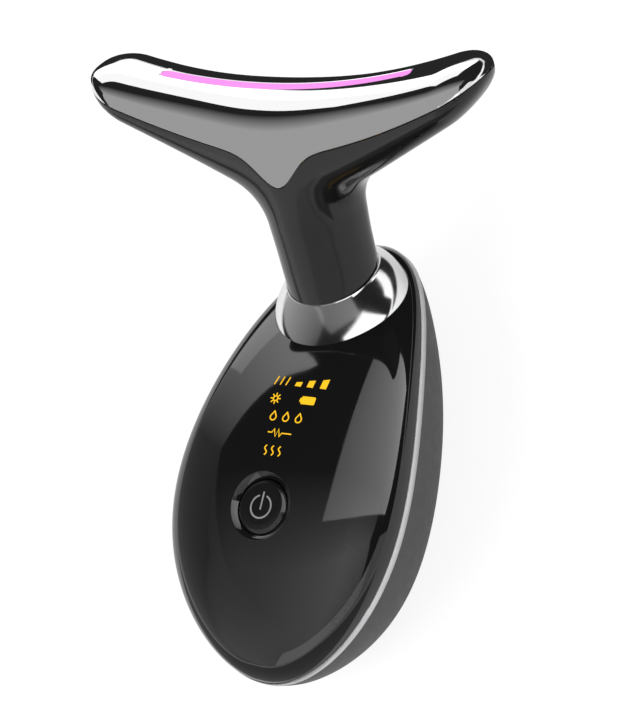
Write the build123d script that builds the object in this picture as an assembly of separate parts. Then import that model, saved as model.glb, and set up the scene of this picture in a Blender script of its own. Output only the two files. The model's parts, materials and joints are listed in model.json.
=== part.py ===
from build123d import *

import os
from math import copysign, cos, exp, pi, radians, sin, sqrt

# A handheld facial toning device, lying on its back. Millimetres, +Z up.
# The origin is the centre of the flat on the back; +Y runs along the handle to the head.

# ---------------------------------------------------------------- handle
HANDLE_LENGTH = 86.0        # tail to nose, along Y
TAIL_Y = -38.0              # where the tail ends
HALF_WIDTH = 23.9
FRONT_DEPTH = 9.3           # waist up to the crown, at mid length
BACK_DEPTH = 24.5           # waist down to the back, at mid length
WAIST_HEIGHT = 23.9         # widest line above the back flat, at mid length
END_SWEEP = 7.5             # how far both ends of the waist dip
NOSE_SWEEP = 1.2            # how much more the nose dips than the tail
FRONT_SQUARENESS = 2.6      # superellipse power of the front cross-section
BACK_SQUARENESS = 2.6
SHELL_WALL = 1.8
TRIM_HEIGHT = 1.8           # visible width of the silver band
TRIM_PROUD = 0.15
TRIM_RAIL = 2.3             # how far the band reaches inside the shells
WIDTH_TERMS = (0.08, -0.05)                 # fuller tail, slimmer quarter points
FRONT_POWER, FRONT_TERMS = 0.84, (0.44, 0.07)
BACK_POWER, BACK_TERMS = 0.95, (0.50, -0.41, 0.14, -0.10)
NOSE_Y = TAIL_Y + HANDLE_LENGTH

# ---------------------------------------------------------------- button
BUTTON_Y = TAIL_Y + 0.3442 * HANDLE_LENGTH
BEZEL_RADIUS = 6.4
BUTTON_RADIUS = 5.05
BUTTON_GAP = 0.2            # radial gap round the cap
BUTTON_SUNK = 0.45          # cap below the crown
BUTTON_TRAVEL = 0.35
BEZEL_SLOPE_DEPTH = 1.0
BEZEL_DEPTH = 2.9
BEZEL_FLANGE = 1.2
BEZEL_LIP = 0.6             # rim before it is cut to the shell's surface
CAP_FLANGE = 0.7
STOP_GAP = 0.1              # cap flange to bezel, at rest

# ---------------------------------------------------------------- electronics
BOARD_TOP = 27.2
BOARD_THICKNESS = 1.2
BOARD_HALF_WIDTH = 16.0
BOARD_TAIL_Y = TAIL_Y + 14.5
BOARD_NOSE_Y = NOSE_Y - 29.0
BOARD_GAP = 0.8             # board edge to the shell's inner wall
BOSS_RADIUS = 2.0
SCREW_SHANK = 0.75
SCREW_HEAD = 1.5
SCREW_HEAD_HEIGHT = 0.9
SCREW_BITE = 2.4            # thread length past the board
SCREW_TAIL_Y = BOARD_TAIL_Y + 4.5
SCREW_NOSE_Y = BOARD_NOSE_Y - 4.5
SCREW_PLACES = ((-11.0, SCREW_TAIL_Y), (11.0, SCREW_TAIL_Y), (-12.5, SCREW_NOSE_Y), (12.5, SCREW_NOSE_Y))
BOARD_PARTS = (             # x, y from the board's tail, width, depth, height
    (-4.0, 9.5, 5.0, 5.0, 1.0),
    (6.5, 11.0, 4.0, 4.0, 0.9),
    (8.5, 26.0, 5.0, 5.0, 2.4),
    (-8.0, 24.5, 3.9, 4.9, 1.4),
    (-3.0, 28.5, 2.0, 1.2, 0.9),
    (0.5, 28.5, 2.0, 1.2, 0.9),
    (3.0, 19.5, 1.2, 2.0, 0.9),
    (-2.0, 19.0, 1.2, 2.0, 0.9),
)
SWITCH_SIDE = 6.0
SWITCH_HEIGHT = 1.6
PLUNGER_RADIUS = 1.7
PLUNGER_RISE = 0.5
RUNNING_GAP = 0.05

DISPLAY_CENTRE = (1.2, BUTTON_Y + 17.6)
DISPLAY_SIZE = (15.0, 19.0)
DISPLAY_SKIN = 0.8          # shell left in front of the light guide
DISPLAY_ROWS = (23.7, 20.3, 16.8, 13.6, 10.3)   # above the button's centre
FIRST_ROW_X = (-3.0, 1.6, 4.2, 6.6)
OTHER_ROW_X = (-2.4, 3.4)
LED_SIZE = (1.6, 0.8, 0.6)
LED_CELL = (2.1, 1.5)

BATTERY_SIZE = (23.0, HANDLE_LENGTH - 52.5, 8.0)
BATTERY_BASE = 6.8
BATTERY_TAIL_Y = TAIL_Y + 14.7
BATTERY_EDGE = 2.2          # rounding of the cell's long edges
PAD_THICKNESS = 0.8
PAD_MARGIN = 3.0            # cell edge to pad edge
RIB_THICKNESS = 1.5
RIB_INSET = 6.5             # cell end to rib
RIB_SHORT = 0.5             # cell side to rib end
BALLAST_SIZE = (22.0, 21.0, 3.6)    # steel plate on the cell, which keeps the tail down
BALLAST_TAIL_GAP = 1.0      # cell end to the plate

PORT_HEIGHT = 12.4          # socket axis above the back flat
PORT_MOUTH_Y = TAIL_Y + 3.3
PORT_SHELL = (8.94, 7.3, 3.26)
PORT_WALL = 0.3
PORT_POCKET = (12.4, 6.2)
PORT_BLOCK = 2.2            # solid plastic round the socket's mouth
PORT_BLOCK_TOP = 4.2        # top of that plastic above the socket's axis
TONGUE_SIZE = (6.6, 0.7)
CHARGE_BOARD = (15.0, 7.6, 1.0)
CHARGE_BOARD_Y = PORT_MOUTH_Y + 2.3
CHARGE_SCREW_X = 5.6
CHARGE_SCREW_Y = PORT_MOUTH_Y + 8.6
CHARGE_SCREW_HEAD = (1.2, 0.8)
PEDESTAL_X = 6.5
PEDESTAL_Y = (PORT_MOUTH_Y + 3.2, PORT_MOUTH_Y + 9.4)

MOTOR_Y = NOSE_Y - 28.5
MOTOR_Z = 10.6
MOTOR_RADIUS = 3.5
MOTOR_LENGTH = 16.0
MOTOR_TAIL_X = -11.0
SHAFT_RADIUS = 0.75
SHAFT_REACH = 6.5
WEIGHT_RADIUS = 3.7
WEIGHT_LENGTH = 5.0
WEIGHT_GAP = 0.8
CRADLE_FLOOR = 1.2
CRADLE_X = (-9.0, 3.0)
CRADLE_HALF = 4.8
CRADLE_TOP = 1.5            # cradle's top above the motor's axis
HUB_RADIUS = 1.6

# ---------------------------------------------------------------- head
COLLAR_ORIGIN = (0.0, TAIL_Y + 0.8395 * HANDLE_LENGTH, 24.0)
HEAD_ORIGIN = (0.0, COLLAR_ORIGIN[1] + 28.55, COLLAR_ORIGIN[2] + 32.58)     # middle of the ridge
HEAD_RISE = 38.6                    # head axis from the vertical, degrees
HEAD_HALF_SPAN = 41.8
TIP_LENGTH = 8.0                    # rounding of each horn end
RIDGE_CURVE = 0.004                 # ridge height is this times x squared
HORN_SQUARENESS = 2.6
UNDERSIDE_MIDDLE = -22.5             # the horn's lower outline rises from here to both ends
UNDERSIDE_SLOPE = 0.566
UNDERSIDE_ROUND = 5.0
HORN_HALF_THICKNESS = 7.9
MIDDLE_SWELL = 2.0                  # how much thicker the horn is at the middle, each side
MIDDLE_SWELL_REACH = 14.0
NECK_BLEND = 8.0                    # fillet between horn and neck
PLATE_THICKNESS = 0.8
HEAD_WALL = 2.8                     # outer surface to the head's cavity
PLATE_EDGE_MIDDLE = -9.0            # the plate's edge, without its tongue
PLATE_EDGE_SLOPE = 0.63
PLATE_EDGE_ROUND = 37.0
TONGUE_DEPTH = 6.1                  # tongue in the middle of the plate's edge
TONGUE_REACH = 5.1
PLATE_EDGE_SPAN = 46.0
WINDOW_HALF_LENGTH = 26.7
WINDOW_WIDTH = 2.2
WINDOW_THICKNESS = 1.4
WINDOW_GAP = 0.05
LED_BOARD_DEPTH = 3.6               # ridge down to the top of the light board
LED_BOARD_THICKNESS = 0.8
LED_BOARD_HALF_LENGTH = 28.0
LED_COUNT = 9
LED_CHIP = (2.0, 0.6, 1.4)
LED_END = 3.0                       # window end to the first light
HEATER_THICKNESS = 0.3
HEATER_HALF_LENGTH = 17.0
HEATER_HEIGHT = (-11.0, -6.5)

# ---------------------------------------------------------------- collar and neck
COLLAR_LEAN = 22.7                  # collar axis from the vertical, degrees
COLLAR_RADIUS = 13.1
COLLAR_HEIGHT = 5.4
COLLAR_SHIFT = 1.8                  # top of the collar moved towards the nose
COLLAR_TOP_LEAN = 27.7
COLLAR_BULGE = 0.6
NECK_RADIUS = 8.8
SPIGOT_RADIUS = 8.4
SPIGOT_DEPTH = 6.4
NECK_WALL = 1.9
SEAT_DEPTH = 3.2                    # collar base down to the nut's seat
SEAT_RADIUS = 12.2
NUT_RADIUS = 11.2
NUT_HEIGHT = 2.4
NECK_STATIONS = ((-11.5, 9.0, 0.0), (-18.0, 9.35, 0.5), (-24.0, 9.3, 0.9), (-30.0, 9.0, 1.3))

NUT_NOTCH = (2.0, 2.4, 2.4)

LEAD_RADIUS = 0.5
LEAD_HALF_SPACING = 2.0
HARNESS_RADIUS = 1.2

FAR = 200.0                         # larger than the whole device
BOARD_BOTTOM = BOARD_TOP - BOARD_THICKNESS
LEAN = radians(COLLAR_LEAN)
RISE = radians(HEAD_RISE)
COLLAR = Plane(origin=COLLAR_ORIGIN, x_dir=(1, 0, 0), z_dir=(0, sin(LEAN), cos(LEAN)))
# In the head's plane x is sideways, y runs out along the neck and z faces the user.
HEAD = Plane(origin=HEAD_ORIGIN, x_dir=(1, 0, 0), z_dir=(0, -cos(RISE), sin(RISE)))


# ================================================================ handle shape
def waist_z(y):
    """Height of the handle's widest line at a place along it."""
    u = 2 * (y - TAIL_Y) / HANDLE_LENGTH - 1
    return WAIST_HEIGHT - END_SWEEP * u * u - NOSE_SWEEP * u


def station(theta, inset):
    """Place along Y and the half width, front depth and back depth there."""
    c = [cos(k * theta) for k in range(5)]
    y = TAIL_Y + inset + (HANDLE_LENGTH - 2 * inset) * (1 - c[1]) / 2
    wide, tall, deep = WIDTH_TERMS, FRONT_TERMS, BACK_TERMS
    width = (HALF_WIDTH - inset) * sin(theta) * exp(wide[0] * c[1] + wide[1] * c[3])
    front = (FRONT_DEPTH - inset) * sin(theta) ** FRONT_POWER * exp(tall[0] * c[1] + tall[1] * c[3])
    swell = deep[0] * c[1] + deep[1] * (c[2] + 1) + deep[2] * c[3] + deep[3] * (c[4] - 1)
    back = (BACK_DEPTH - inset) * sin(theta) ** BACK_POWER * exp(swell)
    return y, width, front, back


def power(value, exponent):
    """A signed power, for superellipses."""
    return copysign(abs(value) ** exponent, value)


def ring(theta, inset, count=32):
    """One cross-section of the handle."""
    y, width, front, back = station(theta, inset)
    points = []
    for i in range(count):
        a = 2 * pi * i / count - pi / 2
        n, depth = (FRONT_SQUARENESS, front) if sin(a) >= 0 else (BACK_SQUARENESS, back)
        points.append(Vector(width * power(cos(a), 2 / n), y, waist_z(y) + depth * power(sin(a), 2 / n)))
    return Wire([Edge.make_spline(points, periodic=True)])


def pod(inset=0.0):
    """The handle's outer form, or the same form drawn in by a wall, flat at the back."""
    angles = [8, 16, 26, 38, 52, 66, 80, 94, 108, 122, 136, 148, 158, 166, 172.5]
    tail = Vertex(0, TAIL_Y + inset, waist_z(TAIL_Y + inset))
    nose = Vertex(0, NOSE_Y - inset, waist_z(NOSE_Y - inset))
    rings = [ring(radians(a), inset) for a in angles]
    body = Solid.make_loft([tail] + rings + [nose])
    return body & Pos(0, 0, inset + FAR / 2) * Box(2 * FAR, 2 * FAR, FAR)


def above_waist(rise):
    """Everything above the waist surface raised by rise, which may be negative."""
    reach = 10.0
    stations = [TAIL_Y - reach + i * (HANDLE_LENGTH + 2 * reach) / 16 for i in range(17)]
    seam = Spline(*[(0, y, waist_z(y) + rise) for y in stations])
    roof = Polyline(seam @ 1, (0, stations[-1], FAR), (0, stations[0], FAR), seam @ 0)
    return extrude(make_face([seam, roof]), FAR / 2, both=True)


def crown_z(y):
    """Height of the front face's middle line, by bisection along the handle."""
    low, high = 0.0, pi
    for _ in range(50):
        middle = (low + high) / 2
        if station(middle, 0)[0] < y:
            low = middle
        else:
            high = middle
    return waist_z(y) + station(low, 0)[2]


def upright(radius, low, high, x=0.0, y=0.0):
    """A vertical cylinder between two heights."""
    return Pos(x, y, (low + high) / 2) * Cylinder(radius, high - low)


def block(x_range, y_range, z_range):
    """A box between three pairs of coordinates."""
    size = [high - low for low, high in (x_range, y_range, z_range)]
    middle = [(high + low) / 2 for low, high in (x_range, y_range, z_range)]
    return Pos(*middle) * Box(*size)


# ================================================================ collar and neck
def collar_circle(height, radius, shift=0.0, lean=COLLAR_LEAN):
    """A circle at a height on the collar's axis, moved towards the nose by shift."""
    centre = COLLAR.from_local_coords(Vector(0, shift, height))
    tilt = radians(lean)
    plane = Plane(origin=centre, x_dir=(1, 0, 0), z_dir=(0, sin(tilt), cos(tilt)))
    return Wire([Edge.make_circle(radius, plane)])


def neck_circle(place, radius, forward):
    """A circle across the neck, at a place on the head's axis."""
    centre = HEAD.from_local_coords(Vector(0, place, forward))
    return Wire([Edge.make_circle(radius, Plane(origin=centre, x_dir=(1, 0, 0), z_dir=HEAD.y_dir))])


def neck(inset=0.0):
    """The neck from the end of its spigot up into the horn."""
    rings = [
        collar_circle(-SPIGOT_DEPTH - (1.0 if inset > 0 else 0.0), SPIGOT_RADIUS - inset),
        collar_circle(0.0, SPIGOT_RADIUS - inset),
        collar_circle(COLLAR_HEIGHT, NECK_RADIUS - inset, COLLAR_SHIFT, COLLAR_TOP_LEAN),
    ]
    for place, radius, forward in reversed(NECK_STATIONS):
        rings.append(neck_circle(place, radius - inset, forward))
    return Solid.make_loft(rings)


# ================================================================ horn-shaped head
def ridge(x):
    """Height of the concave working ridge."""
    return RIDGE_CURVE * x * x


def hyperbola(x, middle, slope, roundness):
    """A curve that is round at x = 0 and straight, at a slope, far from it."""
    return middle + slope * (sqrt(x * x + roundness**2) - roundness)


def underside(x):
    """Height of the horn's lower outline."""
    return hyperbola(x, UNDERSIDE_MIDDLE, UNDERSIDE_SLOPE, UNDERSIDE_ROUND)


def half_thickness(x):
    """Half the horn's thickness, front to back."""
    return HORN_HALF_THICKNESS + MIDDLE_SWELL * exp(-((x / MIDDLE_SWELL_REACH) ** 2))


def plate_edge(x):
    """Height of the chrome plate's lower edge."""
    tongue = TONGUE_DEPTH * exp(-((x / TONGUE_REACH) ** 2))
    return hyperbola(x, PLATE_EDGE_MIDDLE, PLATE_EDGE_SLOPE, PLATE_EDGE_ROUND) - tongue


def horn_ring(x, inset, count=14):
    """One cross-section of the horn in the head's plane, as a front and a back half."""
    top, bottom, thickness = ridge(x), underside(x), half_thickness(x)
    into_tip = max(0.0, (abs(x) - HEAD_HALF_SPAN + TIP_LENGTH) / TIP_LENGTH)
    taper = sqrt(max(0.0, 1 - into_tip**2))
    half_height = (top - bottom) / 2 * taper - inset
    half_width = thickness * taper - inset
    halves = []
    for side in (1, -1):
        points = []
        for i in range(count + 1):
            a = pi * (i / count - 0.5)
            y = (top + bottom) / 2 + half_height * power(sin(a), 2 / HORN_SQUARENESS)
            points.append(Vector(x, y, side * half_width * power(cos(a), 2 / HORN_SQUARENESS)))
        halves.append(Edge.make_spline(points, tangents=[Vector(0, 0, side), Vector(0, 0, -side)]))
    return Wire(halves)


def horn(inset=0.0):
    """The crescent bar of the head, in the head's plane."""
    span = HEAD_HALF_SPAN - inset
    shares = [0.17, 0.32, 0.48, 0.64, 0.78, 0.87, 0.94] + ([0.985] if inset < 0.5 else [])
    shares = [-s for s in reversed(shares)] + [0.0] + shares
    tip = (ridge(span) + underside(span)) / 2
    rings = [horn_ring(span * s, inset) for s in shares]
    return Solid.make_loft([Vertex(-span, tip, 0)] + rings + [Vertex(span, tip, 0)])


def head_form(inset=0.0):
    """Horn and neck as one smooth form, drawn in by a wall."""
    joined = (HEAD.location * horn(inset)).fuse(neck(inset))
    joint = []
    for edge in joined.edges():
        centre = HEAD.to_local_coords(edge.center())
        if -26 < centre.Y < -8 and abs(centre.X) < 15:
            joint.append(edge)
    return joined.fillet(NECK_BLEND - inset, joint)


def above_plate_edge():
    """Everything on the ridge side of the chrome plate's edge."""
    steps = 32
    places = [PLATE_EDGE_SPAN * (2 * i / steps - 1) for i in range(steps + 1)]
    edge = Spline(*[(x, plate_edge(x)) for x in places])
    roof = Polyline(edge @ 1, (PLATE_EDGE_SPAN, FAR / 2), (-PLATE_EDGE_SPAN, FAR / 2), edge @ 0)
    return HEAD.location * extrude(make_face([edge, roof]), FAR / 4, both=True)


def ridge_strip(depth, thickness, half_length, half_width):
    """A strip that follows the ridge at a depth below it."""
    places = [half_length * (i / 8 - 1) for i in range(17)]
    top = Spline(*[(x, ridge(x) - depth) for x in places])
    bottom = Spline(*[(x, ridge(x) - depth - thickness) for x in reversed(places)])
    ends = [Line(top @ 1, bottom @ 0), Line(bottom @ 1, top @ 0)]
    return HEAD.location * extrude(make_face([top, ends[0], bottom, ends[1]]), half_width, both=True)


def window_prism(gap=0.0):
    """The window's outline, a long slot with round ends, through the ridge."""
    outline = SlotOverall(2 * (WINDOW_HALF_LENGTH + gap), WINDOW_WIDTH + 2 * gap)
    across = Plane(origin=HEAD.from_local_coords(Vector(0, -6, 0)), x_dir=(1, 0, 0), z_dir=HEAD.y_dir)
    return extrude(across * outline, 20)


# ================================================================ casing pieces
def make_front_shell(outer, inner, skin):
    """Glossy front cover with openings for the button and the neck, and bosses for the board."""
    cavity = inner - (COLLAR.location * Cylinder(SEAT_RADIUS, 2 * SEAT_DEPTH))
    for x, y in SCREW_PLACES:
        cavity = cavity - upright(BOSS_RADIUS, BOARD_TOP, FAR, x, y)
    shell = (outer & above_waist(TRIM_HEIGHT / 2)) - cavity
    for x, y in SCREW_PLACES:
        shell = shell - upright(SCREW_SHANK, BOARD_TOP - 1, BOARD_TOP + SCREW_BITE + 0.2, x, y)
    shell = shell - upright(BEZEL_RADIUS, BOARD_TOP, FAR, 0, BUTTON_Y)
    shell = shell - (COLLAR.location * Cylinder(SPIGOT_RADIUS + 0.1, 4 * SEAT_RADIUS))
    return shell - (display_block() & skin)


def display_block(gap=0.0, base=BOARD_TOP):
    """The space behind the lit marks."""
    x, y = DISPLAY_CENTRE
    half_x, half_y = DISPLAY_SIZE[0] / 2 - gap, DISPLAY_SIZE[1] / 2 - gap
    return block((x - half_x, x + half_x), (y - half_y, y + half_y), (base, FAR / 2))


def make_back_shell(outer, inner):
    """Deep back cover with the port block, pedestals and battery ribs."""
    rib_tops = BATTERY_BASE - PAD_THICKNESS
    board_base = PORT_HEIGHT - PORT_SHELL[2] / 2 - CHARGE_BOARD[2]
    rib_half = BATTERY_SIZE[0] / 2 - RIB_SHORT
    rib_x = (-rib_half, rib_half)
    tail_rib = BATTERY_TAIL_Y + RIB_INSET
    nose_rib = BATTERY_TAIL_Y + BATTERY_SIZE[1] - RIB_INSET
    saddle_half = CRADLE_HALF - 0.8
    saddle_base = MOTOR_Z - MOTOR_RADIUS - CRADLE_FLOOR
    supports = [
        block(rib_x, (tail_rib, tail_rib + RIB_THICKNESS), (-1, rib_tops)),
        block(rib_x, (nose_rib - RIB_THICKNESS, nose_rib), (-1, rib_tops)),
        block(CRADLE_X, (MOTOR_Y - saddle_half, MOTOR_Y + saddle_half), (-1, saddle_base)),
        block((-PEDESTAL_X, PEDESTAL_X), PEDESTAL_Y, (-1, board_base)),
        block((-FAR, FAR), (-FAR, PORT_MOUTH_Y + PORT_BLOCK), (-1, PORT_HEIGHT + PORT_BLOCK_TOP)),
    ]
    cavity = inner
    for support in supports:
        cavity = cavity - support
    shell = outer - above_waist(-TRIM_HEIGHT / 2) - cavity
    mouth = Plane(origin=(0, PORT_MOUTH_Y, PORT_HEIGHT), x_dir=(1, 0, 0), z_dir=(0, -1, 0))
    shell = shell - extrude(mouth * SlotOverall(*PORT_POCKET), 10)
    shell = shell - extrude(mouth * SlotOverall(PORT_SHELL[0] + 0.1, PORT_SHELL[2] + 0.1), 10, both=True)
    for x in (-CHARGE_SCREW_X, CHARGE_SCREW_X):
        shell = shell - upright(SCREW_SHANK, board_base - SCREW_BITE - 0.2, board_base + 1, x, CHARGE_SCREW_Y)
    return shell


def make_trim_band():
    """Silver band between the two shells, with a rail inside them."""
    rails = pod(-TRIM_PROUD) - pod(TRIM_RAIL)
    return (rails & above_waist(-TRIM_HEIGHT / 2)) - above_waist(TRIM_HEIGHT / 2)


def make_button_bezel(outer, front_shell):
    """Ring with a sloping wall round the button, seated in the shell from inside."""
    top = crown_z(BUTTON_Y)
    bore = BUTTON_RADIUS + BUTTON_GAP
    profile = Polyline(
        (BEZEL_RADIUS, 0, top + BEZEL_LIP),
        (BEZEL_RADIUS - 0.15, 0, top + BEZEL_LIP),
        (BEZEL_RADIUS - 0.15, 0, top - 0.05),
        (bore, 0, top - BEZEL_SLOPE_DEPTH),
        (bore, 0, top - BEZEL_DEPTH),
        (BEZEL_RADIUS + BEZEL_FLANGE, 0, top - BEZEL_DEPTH),
        (BEZEL_RADIUS + BEZEL_FLANGE, 0, top - SHELL_WALL),
        (BEZEL_RADIUS, 0, top - SHELL_WALL),
        close=True,
    )
    ring = Pos(0, BUTTON_Y, 0) * revolve(make_face(profile), Axis.Z)
    return (ring & outer) - front_shell


def make_power_button():
    """Round cap with a bevelled rim, a retaining flange and a short post."""
    top = crown_z(BUTTON_Y) - BUTTON_SUNK
    flange_top = crown_z(BUTTON_Y) - BEZEL_DEPTH - STOP_GAP
    flange_bottom = flange_top - CAP_FLANGE
    post_bottom = BOARD_TOP + SWITCH_HEIGHT + PLUNGER_RISE + RUNNING_GAP
    profile = Polyline(
        (0, 0, post_bottom),
        (PLUNGER_RADIUS, 0, post_bottom),
        (PLUNGER_RADIUS, 0, flange_bottom),
        (BEZEL_RADIUS, 0, flange_bottom),
        (BEZEL_RADIUS, 0, flange_top),
        (BUTTON_RADIUS, 0, flange_top),
        (BUTTON_RADIUS, 0, top - 0.55),
        (BUTTON_RADIUS - 0.5, 0, top - 0.08),
        (BUTTON_RADIUS - 0.8, 0, top),
        (0, 0, top),
        close=True,
    )
    return Pos(0, BUTTON_Y, 0) * revolve(make_face(profile), Axis.Z)


# ================================================================ electronics
def make_main_board():
    """Circuit board cut to the handle's inside, with clearance holes for its screws."""
    size = ((-BOARD_HALF_WIDTH, BOARD_HALF_WIDTH), (BOARD_TAIL_Y, BOARD_NOSE_Y), (BOARD_BOTTOM, BOARD_TOP))
    board = block(*size) & pod(SHELL_WALL + BOARD_GAP)
    for x, y in SCREW_PLACES:
        board = board - upright(SCREW_SHANK + 0.15, BOARD_BOTTOM - 1, BOARD_TOP + 1, x, y)
    return board


def make_board_components():
    """Chips, an inductor and capacitors on the underside of the board."""
    parts = []
    for x, offset, wide, deep, high in BOARD_PARTS:
        y = BOARD_TAIL_Y + offset
        x_range, y_range = (x - wide / 2, x + wide / 2), (y - deep / 2, y + deep / 2)
        parts.append(block(x_range, y_range, (BOARD_BOTTOM - high, BOARD_BOTTOM)))
    return Compound(children=parts)


def make_board_screws():
    """Four small screws from below the board into the front shell's bosses."""
    screws = []
    for x, y in SCREW_PLACES:
        shank = upright(SCREW_SHANK, BOARD_BOTTOM, BOARD_TOP + SCREW_BITE, x, y)
        screws.append(shank.fuse(upright(SCREW_HEAD, BOARD_BOTTOM - SCREW_HEAD_HEIGHT, BOARD_BOTTOM, x, y)))
    return Compound(children=screws)


def make_tact_switch():
    """Switch body with a well for its plunger."""
    half = SWITCH_SIDE / 2
    top = BOARD_TOP + SWITCH_HEIGHT
    body = block((-half, half), (BUTTON_Y - half, BUTTON_Y + half), (BOARD_TOP, top))
    return body - upright(PLUNGER_RADIUS + RUNNING_GAP, BOARD_TOP + 0.4, top + 1, 0, BUTTON_Y)


def make_switch_plunger():
    """The switch's own plunger, under the button's post."""
    low = BOARD_TOP + 0.4 + BUTTON_TRAVEL + 0.1
    return upright(PLUNGER_RADIUS, low, BOARD_TOP + SWITCH_HEIGHT + PLUNGER_RISE, 0, BUTTON_Y)


def display_led_places():
    """Centres of the lights behind the marks, row by row."""
    rows = [BUTTON_Y + offset for offset in DISPLAY_ROWS]
    first = [(x, rows[0]) for x in FIRST_ROW_X]
    return first + [(x, y) for y in rows[1:] for x in OTHER_ROW_X]


def make_display_leds():
    """Small surface-mounted lights on the board, one behind each mark."""
    wide, deep, high = LED_SIZE
    parts = []
    for x, y in display_led_places():
        z_range = (BOARD_TOP, BOARD_TOP + high)
        parts.append(block((x - wide / 2, x + wide / 2), (y - deep / 2, y + deep / 2), z_range))
    return Compound(children=parts)


def make_display_light_guide():
    """White frame with a cell over each light, up to the inside of the front shell."""
    frame = display_block(0.15, BOARD_TOP) & pod(DISPLAY_SKIN + 0.1)
    half_x, half_y = LED_CELL[0] / 2, LED_CELL[1] / 2
    for x, y in display_led_places():
        frame = frame - block((x - half_x, x + half_x), (y - half_y, y + half_y), (BOARD_TOP - 1, FAR / 2))
    return frame


def make_battery():
    """Soft pouch cell with rounded long edges and a folded end seal."""
    wide, long, high = BATTERY_SIZE
    y_range = (BATTERY_TAIL_Y, BATTERY_TAIL_Y + long)
    cell = block((-wide / 2, wide / 2), y_range, (BATTERY_BASE, BATTERY_BASE + high))
    return fillet(cell.edges().filter_by(Axis.Y), BATTERY_EDGE)


def make_battery_pad():
    """Foam pad that holds the cell on its ribs."""
    wide, long, _ = BATTERY_SIZE
    half = wide / 2 - PAD_MARGIN
    y_range = (BATTERY_TAIL_Y + PAD_MARGIN, BATTERY_TAIL_Y + long - PAD_MARGIN)
    return block((-half, half), y_range, (BATTERY_BASE - PAD_THICKNESS, BATTERY_BASE))


def make_ballast_weight():
    """Steel plate bonded on the cell. Its weight keeps the device down on its back."""
    wide, long, high = BALLAST_SIZE
    tail, base = BATTERY_TAIL_Y + BALLAST_TAIL_GAP, BATTERY_BASE + BATTERY_SIZE[2]
    plate = block((-wide / 2, wide / 2), (tail, tail + long), (base, base + high))
    return chamfer(plate.edges().filter_by(Axis.Z), 1.5)


def make_charge_board():
    """Small board that carries the charging socket."""
    wide, deep, thick = CHARGE_BOARD
    top = PORT_HEIGHT - PORT_SHELL[2] / 2
    y_range = (CHARGE_BOARD_Y, CHARGE_BOARD_Y + deep)
    board = block((-wide / 2, wide / 2), y_range, (top - thick, top)) & pod(SHELL_WALL + 0.3)
    for x in (-CHARGE_SCREW_X, CHARGE_SCREW_X):
        board = board - upright(SCREW_SHANK + 0.15, top - 2, top + 1, x, CHARGE_SCREW_Y)
    return board


def make_charge_board_screws():
    """Two screws that hold the charging board on its pedestal."""
    top = PORT_HEIGHT - PORT_SHELL[2] / 2
    screws = []
    for x in (-CHARGE_SCREW_X, CHARGE_SCREW_X):
        shank = upright(SCREW_SHANK, top - CHARGE_BOARD[2] - SCREW_BITE, top, x, CHARGE_SCREW_Y)
        head = upright(CHARGE_SCREW_HEAD[0], top, top + CHARGE_SCREW_HEAD[1], x, CHARGE_SCREW_Y)
        screws.append(shank.fuse(head))
    return Compound(children=screws)


def make_charge_socket():
    """Charging socket: a thin metal sleeve, a back wall and a contact tongue."""
    wide, deep, high = PORT_SHELL
    mouth = Plane(origin=(0, PORT_MOUTH_Y, PORT_HEIGHT), x_dir=(1, 0, 0), z_dir=(0, 1, 0))
    sleeve = extrude(mouth * SlotOverall(wide, high), deep)
    hollow = extrude(mouth * SlotOverall(wide - 2 * PORT_WALL, high - 2 * PORT_WALL), deep - 1.2)
    half_x, half_z = TONGUE_SIZE[0] / 2, TONGUE_SIZE[1] / 2
    y_range = (PORT_MOUTH_Y + 0.9, PORT_MOUTH_Y + deep - 0.6)
    tongue = block((-half_x, half_x), y_range, (PORT_HEIGHT - half_z, PORT_HEIGHT + half_z))
    return (sleeve - hollow).fuse(tongue)


# ================================================================ vibration motor
def along_x(radius, low, high):
    """A cylinder on the motor's axis."""
    turned = Pos((low + high) / 2, MOTOR_Y, MOTOR_Z) * Rot(0, 90, 0)
    return turned * Cylinder(radius, high - low)


def make_motor_can():
    """Motor body with a short bearing nose."""
    nose = MOTOR_TAIL_X + MOTOR_LENGTH
    can = along_x(MOTOR_RADIUS, MOTOR_TAIL_X, nose)
    can = fillet(can.edges(), 0.4)
    can = can.fuse(along_x(HUB_RADIUS, nose, nose + 0.5))
    return can - along_x(SHAFT_RADIUS + RUNNING_GAP, nose - 3, nose + 1)


def make_motor_shaft():
    """Output shaft of the motor."""
    nose = MOTOR_TAIL_X + MOTOR_LENGTH
    return along_x(SHAFT_RADIUS, nose - 2.9, nose + SHAFT_REACH)


def make_motor_weight():
    """Half-round eccentric weight pressed on the shaft."""
    start = MOTOR_TAIL_X + MOTOR_LENGTH + WEIGHT_GAP
    sector = along_x(WEIGHT_RADIUS, start, start + WEIGHT_LENGTH)
    cut = block((-FAR, FAR), (0, FAR), (MOTOR_Z + 0.4, FAR))
    hub = along_x(HUB_RADIUS, start, start + WEIGHT_LENGTH)
    return (sector - cut).fuse(hub) - along_x(SHAFT_RADIUS, start - 1, start + WEIGHT_LENGTH + 1)


def make_motor_cradle():
    """Rubber saddle between the motor and its pedestal."""
    base = MOTOR_Z - MOTOR_RADIUS - CRADLE_FLOOR
    y_range = (MOTOR_Y - CRADLE_HALF, MOTOR_Y + CRADLE_HALF)
    saddle = block(CRADLE_X, y_range, (base, MOTOR_Z + CRADLE_TOP))
    return (saddle & pod(SHELL_WALL + RUNNING_GAP)) - along_x(MOTOR_RADIUS, -FAR / 2, FAR / 2)


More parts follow.
